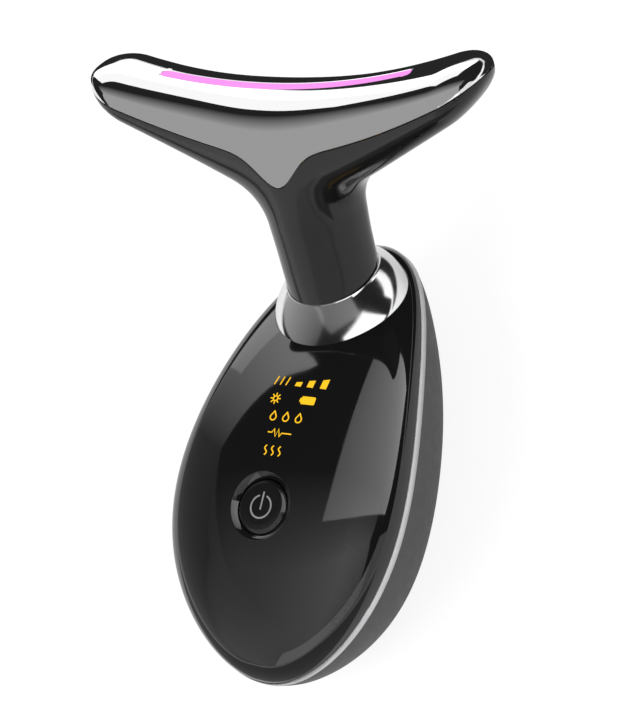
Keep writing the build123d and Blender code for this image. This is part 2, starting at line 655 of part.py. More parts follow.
# ================================================================ neck and head
def make_chrome_collar(outer, neck_form):
    """Bulging chrome ring between the handle and the neck."""
    middle = (COLLAR_RADIUS + NECK_RADIUS) / 2 + COLLAR_BULGE
    rings = [
        collar_circle(-2.0, COLLAR_RADIUS + 0.5),
        collar_circle(0.0, COLLAR_RADIUS),
        collar_circle(COLLAR_HEIGHT / 2, middle, COLLAR_SHIFT / 2, (COLLAR_LEAN + COLLAR_TOP_LEAN) / 2),
        collar_circle(COLLAR_HEIGHT, NECK_RADIUS + 0.15, COLLAR_SHIFT, COLLAR_TOP_LEAN),
    ]
    return Solid.make_loft(rings) - neck_form - outer


def make_neck_nut():
    """Ring nut that clamps the neck against the seat inside the front shell."""
    low = -SEAT_DEPTH - NUT_HEIGHT
    nut = Pos(0, 0, (low - SEAT_DEPTH) / 2) * Cylinder(NUT_RADIUS, NUT_HEIGHT)
    for i in range(6):
        notch = Rot(0, 0, 60 * i) * Pos(NUT_RADIUS, 0, low) * Box(*NUT_NOTCH)
        nut = nut - notch
    return (COLLAR.location * nut) - neck(-RUNNING_GAP)


def make_head_body(form, under_plate, cavity, neck_bore):
    """Black head and neck, stepped down under the plate and hollow inside."""
    return form - (above_plate_edge() - under_plate) - cavity - neck_bore - window_prism(WINDOW_GAP)


def make_treatment_plate(form, under_plate):
    """Chrome contact plate over the top and both faces of the horn."""
    return (form & above_plate_edge()) - under_plate - window_prism(WINDOW_GAP)


def make_led_window(form):
    """Frosted light strip set flush in the ridge."""
    return (form & window_prism()) - (HEAD.location * horn(WINDOW_THICKNESS))


def make_led_board():
    """Flexible light board under the window, held at its edges by the cavity wall."""
    strip = ridge_strip(LED_BOARD_DEPTH, LED_BOARD_THICKNESS, LED_BOARD_HALF_LENGTH, 6.0)
    return strip & (HEAD.location * horn(HEAD_WALL + 0.05))


def make_led_chips():
    """Row of lights on the light board."""
    parts = []
    reach = WINDOW_HALF_LENGTH - LED_END
    for i in range(LED_COUNT):
        x = reach * (2 * i / (LED_COUNT - 1) - 1)
        slope = Rot(0, 0, 2 * RIDGE_CURVE * x * 180 / pi)
        chip = Pos(x, ridge(x) - LED_BOARD_DEPTH + 0.33, 0) * slope * Box(*LED_CHIP)
        parts.append(HEAD.location * chip)
    return Compound(children=parts)


def make_heater_film():
    """Thin heating film on the cavity wall behind the front of the plate."""
    x_range = (-HEATER_HALF_LENGTH, HEATER_HALF_LENGTH)
    zone = HEAD.location * block(x_range, HEATER_HEIGHT, (0, FAR))
    return ((HEAD.location * horn(HEAD_WALL)) - (HEAD.location * horn(HEAD_WALL + HEATER_THICKNESS))) & zone


# ================================================================ leads
def lead(points, radius, bend):
    """A wire that is straight between bends of one radius."""
    path = FilletPolyline(*points, radius=bend)
    start = Plane(origin=path @ 0, z_dir=path % 0)
    return sweep(start * Circle(radius), path=path)


def make_battery_leads():
    """Two wires from the cell up to the board."""
    end_y = BATTERY_TAIL_Y + BATTERY_SIZE[1]
    z = BATTERY_BASE + BATTERY_SIZE[2] / 2
    parts = []
    for x in (-LEAD_HALF_SPACING, LEAD_HALF_SPACING):
        route = [(x, end_y, z), (x, end_y + 2.4, z), (x, end_y + 2.4, BOARD_BOTTOM)]
        parts.append(lead(route, LEAD_RADIUS, 1.8))
    return Compound(children=parts)


def make_motor_leads():
    """Two wires from the motor's tail up to the board."""
    parts = []
    for y in (MOTOR_Y - 2.7, MOTOR_Y - 1.2):
        turn = MOTOR_TAIL_X - 2.0
        route = [(MOTOR_TAIL_X, y, MOTOR_Z), (turn, y, MOTOR_Z), (turn, y, BOARD_BOTTOM)]
        parts.append(lead(route, LEAD_RADIUS, 1.2))
    return Compound(children=parts)


def make_charge_leads():
    """Two wires from the charging board up to the main board."""
    base = PORT_HEIGHT - PORT_SHELL[2] / 2
    low_y, high_y = PORT_MOUTH_Y + 9.1, BOARD_TAIL_Y + 1.2
    parts = []
    for x in (-LEAD_HALF_SPACING, LEAD_HALF_SPACING):
        route = [(x, low_y, base), (x, low_y, 19.0), (x, high_y, 22.5), (x, high_y, BOARD_BOTTOM)]
        parts.append(lead(route, LEAD_RADIUS, 1.8))
    return Compound(children=parts)


def make_head_harness():
    """Sleeved cable from the board through the neck to the light board."""
    end = HEAD.from_local_coords(Vector(0, -LED_BOARD_DEPTH - LED_BOARD_THICKNESS, 0))
    bend = HEAD.from_local_coords(Vector(0, NECK_STATIONS[-1][0], 0))
    start_y, neck_y = BOARD_NOSE_Y - 2.5, COLLAR_ORIGIN[1] - 1.9
    dip = ((start_y + neck_y) / 2 + 1.1, BOARD_BOTTOM - 9.2)
    route = [(0, start_y, BOARD_BOTTOM), (0, start_y, BOARD_BOTTOM - 5.0), (0, *dip)]
    route += [(0, neck_y, COLLAR_ORIGIN[2] - 5.0), tuple(bend), tuple(end)]
    return lead(route, HARNESS_RADIUS, 3.0)


# ================================================================ all pieces
def make_pieces():
    """Every piece of the device, by node name."""
    outer, inner, skin = pod(), pod(SHELL_WALL), pod(DISPLAY_SKIN)
    form, under_plate = head_form(), head_form(PLATE_THICKNESS)
    cavity = HEAD.location * horn(HEAD_WALL)
    front_shell = make_front_shell(outer, inner, skin)
    return {
        "front_shell": front_shell,
        "back_shell": make_back_shell(outer, inner),
        "trim_band": make_trim_band(),
        "button_bezel": make_button_bezel(outer, front_shell),
        "power_button": make_power_button(),
        "tact_switch": make_tact_switch(),
        "switch_plunger": make_switch_plunger(),
        "main_board": make_main_board(),
        "board_components": make_board_components(),
        "board_screws": make_board_screws(),
        "display_leds": make_display_leds(),
        "display_light_guide": make_display_light_guide(),
        "battery": make_battery(),
        "battery_pad": make_battery_pad(),
        "ballast_weight": make_ballast_weight(),
        "charge_board": make_charge_board(),
        "charge_board_screws": make_charge_board_screws(),
        "charge_socket": make_charge_socket(),
        "motor_can": make_motor_can(),
        "motor_cradle": make_motor_cradle(),
        "motor_shaft": make_motor_shaft(),
        "motor_weight": make_motor_weight(),
        "chrome_collar": make_chrome_collar(outer, neck()),
        "neck_nut": make_neck_nut(),
        "head_body": make_head_body(form, under_plate, cavity, neck(NECK_WALL)),
        "treatment_plate": make_treatment_plate(form, under_plate),
        "led_window": make_led_window(form),
        "led_board": make_led_board(),
        "led_chips": make_led_chips(),
        "heater_film": make_heater_film(),
        "battery_leads": make_battery_leads(),
        "motor_leads": make_motor_leads(),
        "charge_leads": make_charge_leads(),
        "head_harness": make_head_harness(),
    }


def main():
    """Write one STEP file for each piece."""
    os.makedirs("parts", exist_ok=True)
    for name, piece in make_pieces().items():
        export_step(piece, os.path.join("parts", name + ".step"))
        box = piece.bounding_box()
        print(name, len(piece.solids()), "solids", [round(v, 2) for v in (*box.min, *box.max)])


main()
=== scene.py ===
"""Looks of a handheld facial toning device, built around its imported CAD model."""

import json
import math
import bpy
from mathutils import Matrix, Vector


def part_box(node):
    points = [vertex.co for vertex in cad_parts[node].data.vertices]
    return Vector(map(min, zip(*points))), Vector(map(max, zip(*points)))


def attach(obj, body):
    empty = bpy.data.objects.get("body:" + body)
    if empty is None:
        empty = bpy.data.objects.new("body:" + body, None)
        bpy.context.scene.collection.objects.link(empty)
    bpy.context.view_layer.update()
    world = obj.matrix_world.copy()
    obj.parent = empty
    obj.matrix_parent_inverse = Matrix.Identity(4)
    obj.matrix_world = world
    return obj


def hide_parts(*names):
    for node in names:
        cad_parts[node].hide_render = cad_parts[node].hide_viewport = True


bl_info = {
    "name": "Facial Toner Builder",
    "version": (1, 0, 0),
    "blender": (4, 5, 0),
    "location": "View3D > Sidebar > Toner",
    "description": "Builds the finished surfaces of a handheld facial toning device",
    "category": "Object",
}

import bmesh
import bpy
import numpy as np
from bpy.props import FloatProperty, FloatVectorProperty, PointerProperty
from mathutils import Matrix, Vector

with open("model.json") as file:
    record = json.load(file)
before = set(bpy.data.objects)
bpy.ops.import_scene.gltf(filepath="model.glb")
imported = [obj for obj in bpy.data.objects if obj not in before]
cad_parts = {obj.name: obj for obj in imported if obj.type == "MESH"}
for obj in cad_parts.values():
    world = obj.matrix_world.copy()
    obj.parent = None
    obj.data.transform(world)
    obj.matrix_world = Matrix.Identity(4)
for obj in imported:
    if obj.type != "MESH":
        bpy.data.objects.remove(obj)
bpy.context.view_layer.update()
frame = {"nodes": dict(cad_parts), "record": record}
MM = 0.001
CASING = "casing"
BUTTON = "button"


# ================================================================ user's sizes and colours
def size(label, text, default):
    """A length in millimetres."""
    return FloatProperty(name=label, description=text, default=default)


def colour(label, text, default):
    """A linear colour."""
    return FloatVectorProperty(name=label, description=text, default=default, size=3, subtype="COLOR",
                               min=0, max=1)


class TonerHandleSizes(bpy.types.PropertyGroup):
    """Sizes of the handle, in millimetres."""

    tail: size("Tail", "Where the handle's tail ends, along Y", -38.0)
    length: size("Length", "Tail to nose", 86.0)
    half_width: size("Half width", "Half the widest width", 23.9)
    front_depth: size("Front depth", "Waist up to the crown", 9.3)
    back_depth: size("Back depth", "Waist down to the back", 24.5)
    waist_height: size("Waist height", "Widest line above the back flat", 23.9)
    end_sweep: size("End sweep", "How far both ends of the waist dip", 7.5)
    nose_sweep: size("Nose sweep", "How much more the nose dips than the tail", 1.2)
    squareness: size("Squareness", "Superellipse power of the cross-section", 2.6)
    wall: size("Wall", "Wall of both shells", 1.8)
    trim: size("Trim", "Visible width of the silver band", 1.8)
    trim_proud: size("Trim proud", "How far the band stands out", 0.15)
    trim_rail: size("Trim rail", "How far the band reaches inside", 2.3)
    edge_round: size("Edge round", "Rounding of the shells' edges at the band", 0.16)


class TonerHeadSizes(bpy.types.PropertyGroup):
    """Sizes of the head and neck, in millimetres."""

    half_span: size("Half span", "Middle to the end of a horn", 41.8)
    tip: size("Tip", "Rounding of each horn end", 8.0)
    squareness: size("Squareness", "Superellipse power of the horn's section", 2.6)
    half_thickness: size("Half thickness", "Half the horn's thickness", 7.9)
    swell: size("Swell", "Extra half thickness in the middle", 2.0)
    swell_reach: size("Swell reach", "How far the swell reaches", 14.0)
    blend: size("Blend", "Blend between horn and neck", 7.4)
    plate: size("Plate", "Thickness of the chrome plate", 0.8)
    seam: size("Seam", "Rounding along the plate's edge", 0.14)
    window_half_length: size("Window half length", "Half the light strip's length", 26.7)
    window_width: size("Window width", "Width of the light strip", 2.2)
    window_depth: size("Window depth", "Thickness of the light strip", 1.4)
    voxel: size("Voxel", "Mesh size of the head", 0.9)


class TonerColours(bpy.types.PropertyGroup):
    """Colours of the finishes."""

    front: colour("Front", "Glossy front shell", (0.0075, 0.0075, 0.0080))
    back: colour("Back", "Satin back shell", (0.045, 0.045, 0.047))
    neck: colour("Neck", "Black head and neck", (0.006, 0.006, 0.0063))
    silver: colour("Silver", "Trim band", (0.66, 0.66, 0.67))
    chrome: colour("Chrome", "Plated pieces", (0.93, 0.93, 0.935))
    strip: colour("Strip", "Light strip", (1.0, 0.33, 0.93))
    amber: colour("Amber", "Lit marks", (1.0, 0.56, 0.02))
    print_grey: colour("Print", "Symbol on the button", (0.30, 0.30, 0.31))
    floor: colour("Floor", "Studio floor", (0.93, 0.93, 0.93))


def handle_sizes():
    """The handle's sizes."""
    return bpy.context.scene.toner_handle


def head_sizes():
    """The head's sizes."""
    return bpy.context.scene.toner_head


def colours():
    """The finishes' colours."""
    return bpy.context.scene.toner_colours


# ================================================================ handle form
def signed_power(value, exponent):
    """A power that keeps the sign."""
    return np.sign(value) * np.abs(value) ** exponent


# How the profiles lean along the handle: powers of the sine and terms of the cosines of a station's angle.
WIDTH_TERMS = (0.08, -0.05)
FRONT_POWER = 0.84
FRONT_TERMS = (0.44, 0.07)
BACK_POWER = 0.95
BACK_TERMS = (0.50, -0.41, 0.14, -0.10)


def waist_z(y):
    """Height of the handle's widest line."""
    h = handle_sizes()
    u = 2 * (y - h.tail) / h.length - 1
    return h.waist_height - h.end_sweep * u * u - h.nose_sweep * u


def station(theta, inset):
    """Place along Y, half width, front depth and back depth at a station."""
    h = handle_sizes()
    c = [np.cos(k * theta) for k in range(5)]
    s = np.maximum(np.sin(theta), 0)
    y = h.tail + inset + (h.length - 2 * inset) * (1 - c[1]) / 2
    width = (h.half_width - inset) * s * np.exp(WIDTH_TERMS[0] * c[1] + WIDTH_TERMS[1] * c[3])
    front = (h.front_depth - inset) * s**FRONT_POWER * np.exp(FRONT_TERMS[0] * c[1] + FRONT_TERMS[1] * c[3])
    terms = (c[1], c[2] + 1, c[3], c[4] - 1)
    back = (h.back_depth - inset) * s**BACK_POWER * np.exp(sum(t * k for t, k in zip(BACK_TERMS, terms)))
    return y, width, front, back


def section(theta, angle, inset, side):
    """A point of the front (side 1) or back (side -1) half of a cross-section."""
    h = handle_sizes()
    y, width, front, back = station(theta, inset)
    depth = front if side > 0 else back
    x = width * signed_power(np.cos(angle), 2 / h.squareness)
    z = waist_z(y) + side * depth * signed_power(np.sin(angle), 2 / h.squareness)
    return x, y, z


def edge_angle(theta, inset, side, rise):
    """Angle at which a cross-section is at a rise from the waist."""
    _, _, front, back = station(theta, inset)
    depth = front if side > 0 else back
    return np.arcsin(min(1.0, rise / max(depth, 1e-6)) ** (handle_sizes().squareness / 2))


def end_stations(inset, side, rise):
    """Stations at both ends where the half depth equals a rise."""
    ends = []
    for high in (0.0, math.pi):
        low = math.pi / 2
        for _ in range(60):
            middle = (low + high) / 2
            depth = station(middle, inset)[2 if side > 0 else 3]
            if depth < rise:
                high = middle
            else:
                low = middle
        ends.append(low)
    return ends


def face_z(x, y):
    """Height of the front face."""
    h = handle_sizes()
    theta = np.arccos(np.clip(1 - 2 * (y - h.tail) / h.length, -1, 1))
    _, width, front, _ = station(theta, 0.0)
    share = np.clip(np.abs(x) / width, 0, 1) ** h.squareness
    return waist_z(y) + front * (1 - share) ** (1 / h.squareness)


# ================================================================ mesh helpers
class Maker:
    """Collects points in millimetres and faces."""

    def __init__(self):
        self.points = []
        self.faces = []

    def loop(self, points):
        """Adds points and gives their numbers."""
        start = len(self.points)
        self.points.extend([tuple(float(v) for v in p) for p in points])
        return list(range(start, len(self.points)))

    def bridge(self, a, b, closed=True):
        """Quads between two loops of the same count."""
        count = len(a)
        for i in range(count if closed else count - 1):
            j = (i + 1) % count
            self.faces.append((a[i], a[j], b[j], b[i]))

    def fan(self, tip, loop, closed=True):
        """Triangles from a point to a loop."""
        count = len(loop)
        for i in range(count if closed else count - 1):
            self.faces.append((tip, loop[i], loop[(i + 1) % count]))

    def mesh(self, name):
        """The mesh in metres, with outward normals."""
        data = bpy.data.meshes.new(name)
        data.from_pydata([tuple(MM * v for v in p) for p in self.points], [], self.faces)
        work = bmesh.new()
        work.from_mesh(data)
        bmesh.ops.remove_doubles(work, verts=work.verts, dist=1e-7)
        bmesh.ops.recalc_face_normals(work, faces=work.faces)
        work.to_mesh(data)
        work.free()
        return data


def lathe(profile, steps=96, closed=False):
    """A turned form about Z from (radius, height) pairs; a radius of 0 closes it."""
    maker = Maker()
    rings = []
    for radius, height in profile:
        if radius == 0:
            rings.append(maker.loop([(0, 0, height)]))
            continue
        turn = [2 * math.pi * i / steps for i in range(steps)]
        rings.append(maker.loop([(radius * math.cos(a), radius * math.sin(a), height) for a in turn]))
    pairs = list(zip(rings, rings[1:])) + ([(rings[-1], rings[0])] if closed else [])
    for a, b in pairs:
        if len(a) == 1:
            maker.fan(a[0], b)
        elif len(b) == 1:
            maker.fan(b[0], a)
        else:
            maker.bridge(a, b)
    return maker


def rounded(points, radius, steps=4):
    """A (radius, height) profile with its inner corners rounded."""
    result = [points[0]]
    for before, corner, after in zip(points, points[1:], points[2:]):
        c, a, b = Vector(corner), Vector(before), Vector(after)
        reach = min(radius, (a - c).length / 2.2, (b - c).length / 2.2)
        start, end = c + (a - c).normalized() * reach, c + (b - c).normalized() * reach
        for i in range(steps + 1):
            t = i / steps
            result.append(tuple(start * (1 - t) ** 2 + c * (2 * t * (1 - t)) + end * t * t))
    result.append(points[-1])
    return result


def add_object(name, data):
    """An object for a mesh, in the scene."""
    obj = bpy.data.objects.new(name, data)
    bpy.context.scene.collection.objects.link(obj)
    return obj


def cut_away(obj, cutter):
    """Cuts an object by another, which is then removed."""
    step = obj.modifiers.new("cut", "BOOLEAN")
    step.operation = "DIFFERENCE"
    step.solver = "EXACT"
    step.object = cutter
    graph = bpy.context.evaluated_depsgraph_get()
    data = bpy.data.meshes.new_from_object(obj.evaluated_get(graph))
    obj.modifiers.clear()
    obj.data = data
    bpy.data.objects.remove(cutter)


def smooth(data, degrees=32):
    """Smooth shading with sharp edges above an angle."""
    data.shade_smooth()
    data.set_sharp_from_angle(angle=math.radians(degrees))


def set_normals(data, gradient, near=0.05, least=0.85):
    """Exact normals on the faces that lie on a form; gradient gives distance and direction in millimetres."""
    count = len(data.vertices)
    place = np.empty(count * 3, np.float32)
    data.vertices.foreach_get("co", place)
    distance, direction = gradient(place.reshape(-1, 3).astype(float) / MM)
    face_loops = np.empty(len(data.polygons), np.int32)
    data.polygons.foreach_get("loop_total", face_loops)
    corner_vertex = np.empty(len(data.loops), np.int32)
    data.loops.foreach_get("vertex_index", corner_vertex)
    face_normal = np.empty(len(data.polygons) * 3, np.float32)
    data.polygons.foreach_get("normal", face_normal)
    corner_face = np.repeat(np.arange(len(data.polygons)), face_loops)
    facing = np.einsum("ij,ij->i", direction[corner_vertex], face_normal.reshape(-1, 3)[corner_face])
    good = (np.abs(distance[corner_vertex]) < near) & (facing > least)
    bad_faces = np.zeros(len(data.polygons), bool)
    np.logical_or.at(bad_faces, corner_face, ~good)
    normals = np.where(bad_faces[corner_face][:, None], 0.0, direction[corner_vertex])
    data.normals_split_custom_set(normals.tolist())


def finish_piece(obj, body, slot, material, *nodes):
    """Gives a piece its material and body, and hides the CAD nodes it stands for; the record slot is not
    used.
    """
    obj.data.materials.clear()
    obj.data.materials.append(material)
    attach(obj, body)
    if nodes:
        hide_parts(*nodes)


# ================================================================ materials
def set_inputs(node, values):
    """Sets a node's inputs; an underscore in a name stands for a space."""
    for socket, value in values.items():
        node.inputs[socket.replace("_", " ")].default_value = value


class Network:
    """A material's or world's nodes, with short ways to add and link them."""

    def __init__(self, owner, empty=True):
        owner.use_nodes = True
        self.tree = owner.node_tree
        if empty:
            self.tree.nodes.clear()

    def node(self, kind, *sources, **values):
        """A node with its first inputs linked to sources and named inputs set."""
        fresh = self.tree.nodes.new("ShaderNode" + kind)
        for place, source in enumerate(sources):
            self.tree.links.new(source, fresh.inputs[place])
        set_inputs(fresh, values)
        return fresh

    def add(self, kind, *sources, **values):
        """The first output of such a node."""
        return self.node(kind, *sources, **values).outputs[0]


class Finish(Network):
    """A material with a Principled shader and helpers for its node network."""

    def __init__(self, name, base, roughness, **fixed):
        self.material = bpy.data.materials.new(name)
        super().__init__(self.material, empty=False)
        self.shader = self.tree.nodes["Principled BSDF"]
        self.base = base
        set_inputs(self.shader, {"Base Color": (*base, 1), "Roughness": roughness, **fixed})
        self.place = self.node("TexCoord").outputs["Object"]

    def noise(self, scale, detail=4.0, stretch=None):
        """Noise in object space, stretched along the axes if asked."""
        source = self.add("Mapping", self.place, Scale=stretch) if stretch else self.place
        return self.add("TexNoise", source, Scale=scale, Detail=detail)

    def spread(self, source, low, high, start=0.3, end=0.7):
        """Maps a 0 to 1 texture to a range."""
        return self.add("MapRange", source, From_Min=start, From_Max=end, To_Min=low, To_Max=high)

    def vary_roughness(self, scale, low, high, stretch=None):
        """Roughness that wanders between two values."""
        rough = self.spread(self.noise(scale, 5.0, stretch), low, high)
        self.tree.links.new(rough, self.shader.inputs["Roughness"])
        return self

    def vary_colour(self, scale, darker, lighter):
        """Base colour that wanders between a darker and a lighter tone of itself."""
        mix = self.tree.nodes.new("ShaderNodeMix")
        mix.data_type = "RGBA"
        mix.inputs["A"].default_value = (*scaled(self.base, darker), 1)
        mix.inputs["B"].default_value = (*scaled(self.base, lighter), 1)
        self.tree.links.new(self.spread(self.noise(scale), 0.0, 1.0), mix.inputs["Factor"])
        self.tree.links.new(mix.outputs["Result"], self.shader.inputs["Base Color"])
        return self

    def bump(self, scale, depth_mm, strength=1.0, detail=3.0, stretch=None):
        """Fine relief of a depth in millimetres."""
        node = self.node("Bump", Strength=strength, Distance=depth_mm * MM)
        self.tree.links.new(self.noise(scale, detail, stretch), node.inputs["Height"])
        self.tree.links.new(node.outputs["Normal"], self.shader.inputs["Normal"])
        return self

    def glow(self, tint, strength):
        """Light given off by the surface."""
        set_inputs(self.shader, {"Emission Color": (*tint, 1), "Emission Strength": strength})
        return self


def scaled(tint, factor):
    """A colour made lighter or darker."""
    return tuple(min(1.0, channel * factor) for channel in tint)


def gloss_black():
    """Piano-gloss moulding with a faint haze from handling."""
    piece = Finish("front_gloss", colours().front, 0.05, Specular_IOR_Level=0.62)
    piece.vary_colour(60, 0.92, 1.08).vary_roughness(90, 0.035, 0.065)
    return piece.bump(35, 0.004, 0.25).material


def satin_grey():
    """Satin moulding with a fine spark-eroded grain."""
    piece = Finish("back_satin", colours().back, 0.42)
    piece.vary_colour(120, 0.93, 1.07).vary_roughness(500, 0.38, 0.47)
    return piece.bump(5200, 0.012, 0.5).material


def neck_black():
    """Smooth black moulding of the head and neck."""
    piece = Finish("neck_satin", colours().neck, 0.12, Specular_IOR_Level=0.42)
    piece.vary_colour(70, 0.94, 1.06).vary_roughness(120, 0.09, 0.15)
    return piece.bump(40, 0.004, 0.2).material


def chrome(name="chrome", haze=0.03):
    """Bright plating with the faint haze of wiped metal."""
    piece = Finish(name, colours().chrome, haze, Metallic=1.0)
    return piece.vary_roughness(140, 0.6 * haze, 1.5 * haze).bump(26, 0.0025, 0.15).material


def brushed_silver():
    """Anodised band with a fine grain along it."""
    piece = Finish("trim_silver", colours().silver, 0.30, Metallic=1.0)
    piece.vary_colour(300, 0.94, 1.04).vary_roughness(900, 0.24, 0.36, (1.0, 0.08, 1.0))
    return piece.bump(4200, 0.004, 0.35, 2.0, (1.0, 0.05, 1.0)).material


def button_black():
    """Soft-gloss cap."""
    piece = Finish("button_black", scaled(colours().front, 1.2), 0.14, Specular_IOR_Level=0.5)
    return piece.vary_colour(150, 0.9, 1.1).vary_roughness(260, 0.11, 0.18).material


def lit_strip():
    """Frosted window over a row of lights."""
    tint = colours().strip
    piece = Finish("window_pink", scaled(tint, 0.06), 0.5, Specular_IOR_Level=0.15)
    piece.glow(tint, 0.95).vary_roughness(700, 0.44, 0.56)
    return piece.bump(2600, 0.006, 0.3).material


def lit_mark():
    """Amber light through the dark front."""
    tint = colours().amber
    piece = Finish("led_amber", scaled(tint, 0.25), 0.10).glow(tint, 0.92)
    return piece.vary_roughness(800, 0.08, 0.12).material


def printed_grey():
    """Grey ink on the cap."""
    return Finish("print_grey", colours().print_grey, 0.45).vary_colour(900, 0.9, 1.1).material


def inner_finish(slot):
    """A finish for a CAD node inside the casing, from its record slot."""
    name, kind, tint = slot["slot"], slot["class"], slot["base_color"][:3]
    metal = kind in ("brushed_steel", "chrome", "aluminium", "cast_iron", "painted_metal")
    rough = {"gloss_plastic": 0.15, "rubber": 0.75, "matte_plastic": 0.5}.get(kind, 0.3)
    piece = Finish("inner_" + name, tint, rough, Metallic=1.0 if metal else 0.0)
    piece.vary_colour(400, 0.88, 1.08)
    piece.vary_roughness(900, max(0.05, rough - 0.08), rough + 0.08)
    return piece.bump(3000, 0.01, 0.3).material


# ================================================================ shells
ROWS = 96
COLUMNS = 64
EDGE_TURNS = (0.35, 0.7, 1.0)   # shares of the quarter turn that rounds a shell's edge
LEAST_RISE = 0.3                # keeps an edge line's ends off the very tips
INNER_STEP = 0.02               # how far above its edge the inner skin starts


def shell_surface(maker, inset, side, rise):
    """A half of the handle's form above or below the band; gives its edge loop."""
    ends = end_stations(inset, side, rise)
    flat = inset if side < 0 else -math.inf
    poles = []
    for theta in ends:
        y = station(theta, inset)[0]
        poles.append(maker.loop([(0, y, waist_z(y) + side * rise)])[0])
    rows = []
    for theta in np.linspace(*ends, ROWS + 1)[1:-1]:
        start = edge_angle(theta, inset, side, rise)
        angles = start + (math.pi - 2 * start) * np.linspace(0, 1, COLUMNS + 1)
        points = [section(theta, angle, inset, side) for angle in angles]
        rows.append(maker.loop([(x, y, max(z, flat)) for x, y, z in points]))
    maker.fan(poles[0], rows[0], closed=False)
    maker.fan(poles[1], rows[-1], closed=False)
    for a, b in zip(rows, rows[1:]):
        maker.bridge(a, b, closed=False)
    return [poles[0]] + [row[0] for row in rows] + [poles[1]] + [row[-1] for row in reversed(rows)]


def edge_loop(maker, inset, side, rise):
    """A closed line round the handle at an inset and a rise."""
    ends = end_stations(0.0, side, max(rise, LEAST_RISE))
    right, left = [], []
    for theta in np.linspace(*ends, ROWS + 1)[1:-1]:
        angle = edge_angle(theta, inset, side, rise)
        right.append(section(theta, angle, inset, side))
        left.append(section(theta, math.pi - angle, inset, side))
    tips = []
    for theta in ends:
        y = station(theta, inset)[0]
        tips.append((0, y, waist_z(y) + side * rise))
    return maker.loop([tips[0]] + right + [tips[1]] + left[::-1])


def shell_mesh(name, side):
    """A closed shell: outer skin, rounded edge at the band, and inner skin."""
    h = handle_sizes()
    rise, bend = h.trim / 2, h.edge_round
    maker = Maker()
    outer = shell_surface(maker, 0.0, side, rise + bend)
    rim = [outer]
    for turn in EDGE_TURNS:
        a = turn * math.pi / 2
        rim.append(edge_loop(maker, bend * (1 - math.cos(a)), side, rise + bend * (1 - math.sin(a))))
    inner_edge = edge_loop(maker, h.wall, side, rise)
    inner = shell_surface(maker, h.wall, side, rise + INNER_STEP)
    rim += [inner_edge, inner]
    for a, b in zip(rim, rim[1:]):
        maker.bridge(a, b)
    return maker.mesh(name)


def handle_field(points):
    """Distance from the handle's form and its direction, for points in millimetres."""

    def field(p):
        h = handle_sizes()
        theta = np.arccos(np.clip(1 - 2 * (p[:, 1] - h.tail) / h.length, -1, 1))
        _, width, front, back = station(theta, 0.0)
        lift = p[:, 2] - waist_z(p[:, 1])
        depth = np.where(lift > 0, front, back)
        width, depth = np.maximum(width, 1e-3), np.maximum(depth, 1e-3)
        n = h.squareness
        return ((np.abs(p[:, 0]) / width) ** n + (np.abs(lift) / depth) ** n) ** (1 / n) - 1

    return slope(field, points)


def slope(field, points, step=0.01):
    """First-order distance and unit direction from a field, by central differences."""
    value = field(points)
    grad = np.empty_like(points)
    for axis in range(3):
        shift = np.zeros(3)
        shift[axis] = step
        grad[:, axis] = (field(points + shift) - field(points - shift)) / (2 * step)
    length = np.maximum(np.linalg.norm(grad, axis=1), 1e-9)
    return value / length, grad / length[:, None]


NECK_OPENING = 8.5
COLLAR_ORIGIN = Vector((0.0, 34.2, 24.0))
COLLAR_LEAN = math.radians(22.7)
COLLAR_AXIS = Vector((0, math.sin(COLLAR_LEAN), math.cos(COLLAR_LEAN)))
BUTTON_Y = -8.4
BEZEL_RADIUS = 6.4
PORT_HEIGHT = 12.4
PORT_POCKET = (12.4, 6.2)
PORT_MOUTH = (9.04, 3.36)
PORT_POCKET_END = -34.7
PORT_MOUTH_END = -20
OUTSIDE_TAIL = -60


def cylinder(name, radius, centre, axis, low, high):
    """A cutter along an axis."""
    data = lathe([(0, low), (radius, low), (radius, high), (0, high)]).mesh(name)
    turn = Vector((0, 0, 1)).rotation_difference(axis).to_matrix().to_4x4()
    data.transform(Matrix.Translation(Vector(centre) * MM) @ turn)
    return add_object(name, data)


def slot_prism(name, wide, high, height, start, end, steps=48):
    """A cutter along Y with a round-ended slot section."""
    maker = Maker()
    radius, reach = high / 2, wide / 2 - high / 2
    outline = []
    for i in range(steps):
        a = 2 * math.pi * i / steps - math.pi / 2
        across = math.copysign(reach, math.cos(a) + 1e-9) + radius * math.cos(a)
        outline.append((across, radius * math.sin(a)))
    loops = [maker.loop([(x, y, height + z) for x, z in outline]) for y in (start, end)]
    maker.bridge(*loops)
    maker.faces += [tuple(loops[0]), tuple(reversed(loops[1]))]
    return add_object(name, maker.mesh(name))


class TONER_OT_shells(bpy.types.Operator):
    """Builds the glossy front shell and the satin back shell"""

    bl_idname = "toner.shells"
    bl_label = "Handle Shells"

    def execute(self, context):
        front = add_object("front_cover", shell_mesh("front_cover", 1))
        cut_away(front, cylinder("hole", BEZEL_RADIUS, (0, BUTTON_Y, 0), Vector((0, 0, 1)), 20, 50))
        cut_away(front, cylinder("hole", NECK_OPENING, COLLAR_ORIGIN, COLLAR_AXIS, -20, 20))
        back = add_object("back_cover", shell_mesh("back_cover", -1))
        cut_away(back, slot_prism("pocket", *PORT_POCKET, PORT_HEIGHT, OUTSIDE_TAIL, PORT_POCKET_END))
        cut_away(back, slot_prism("mouth", *PORT_MOUTH, PORT_HEIGHT, OUTSIDE_TAIL, PORT_MOUTH_END))
        for shell in (front, back):
            smooth(shell.data)
            set_normals(shell.data, handle_field)
        finish_piece(front, CASING, "front_gloss", gloss_black(), "front_shell")
        finish_piece(back, CASING, "back_satin", satin_grey(), "back_shell")
        return {"FINISHED"}


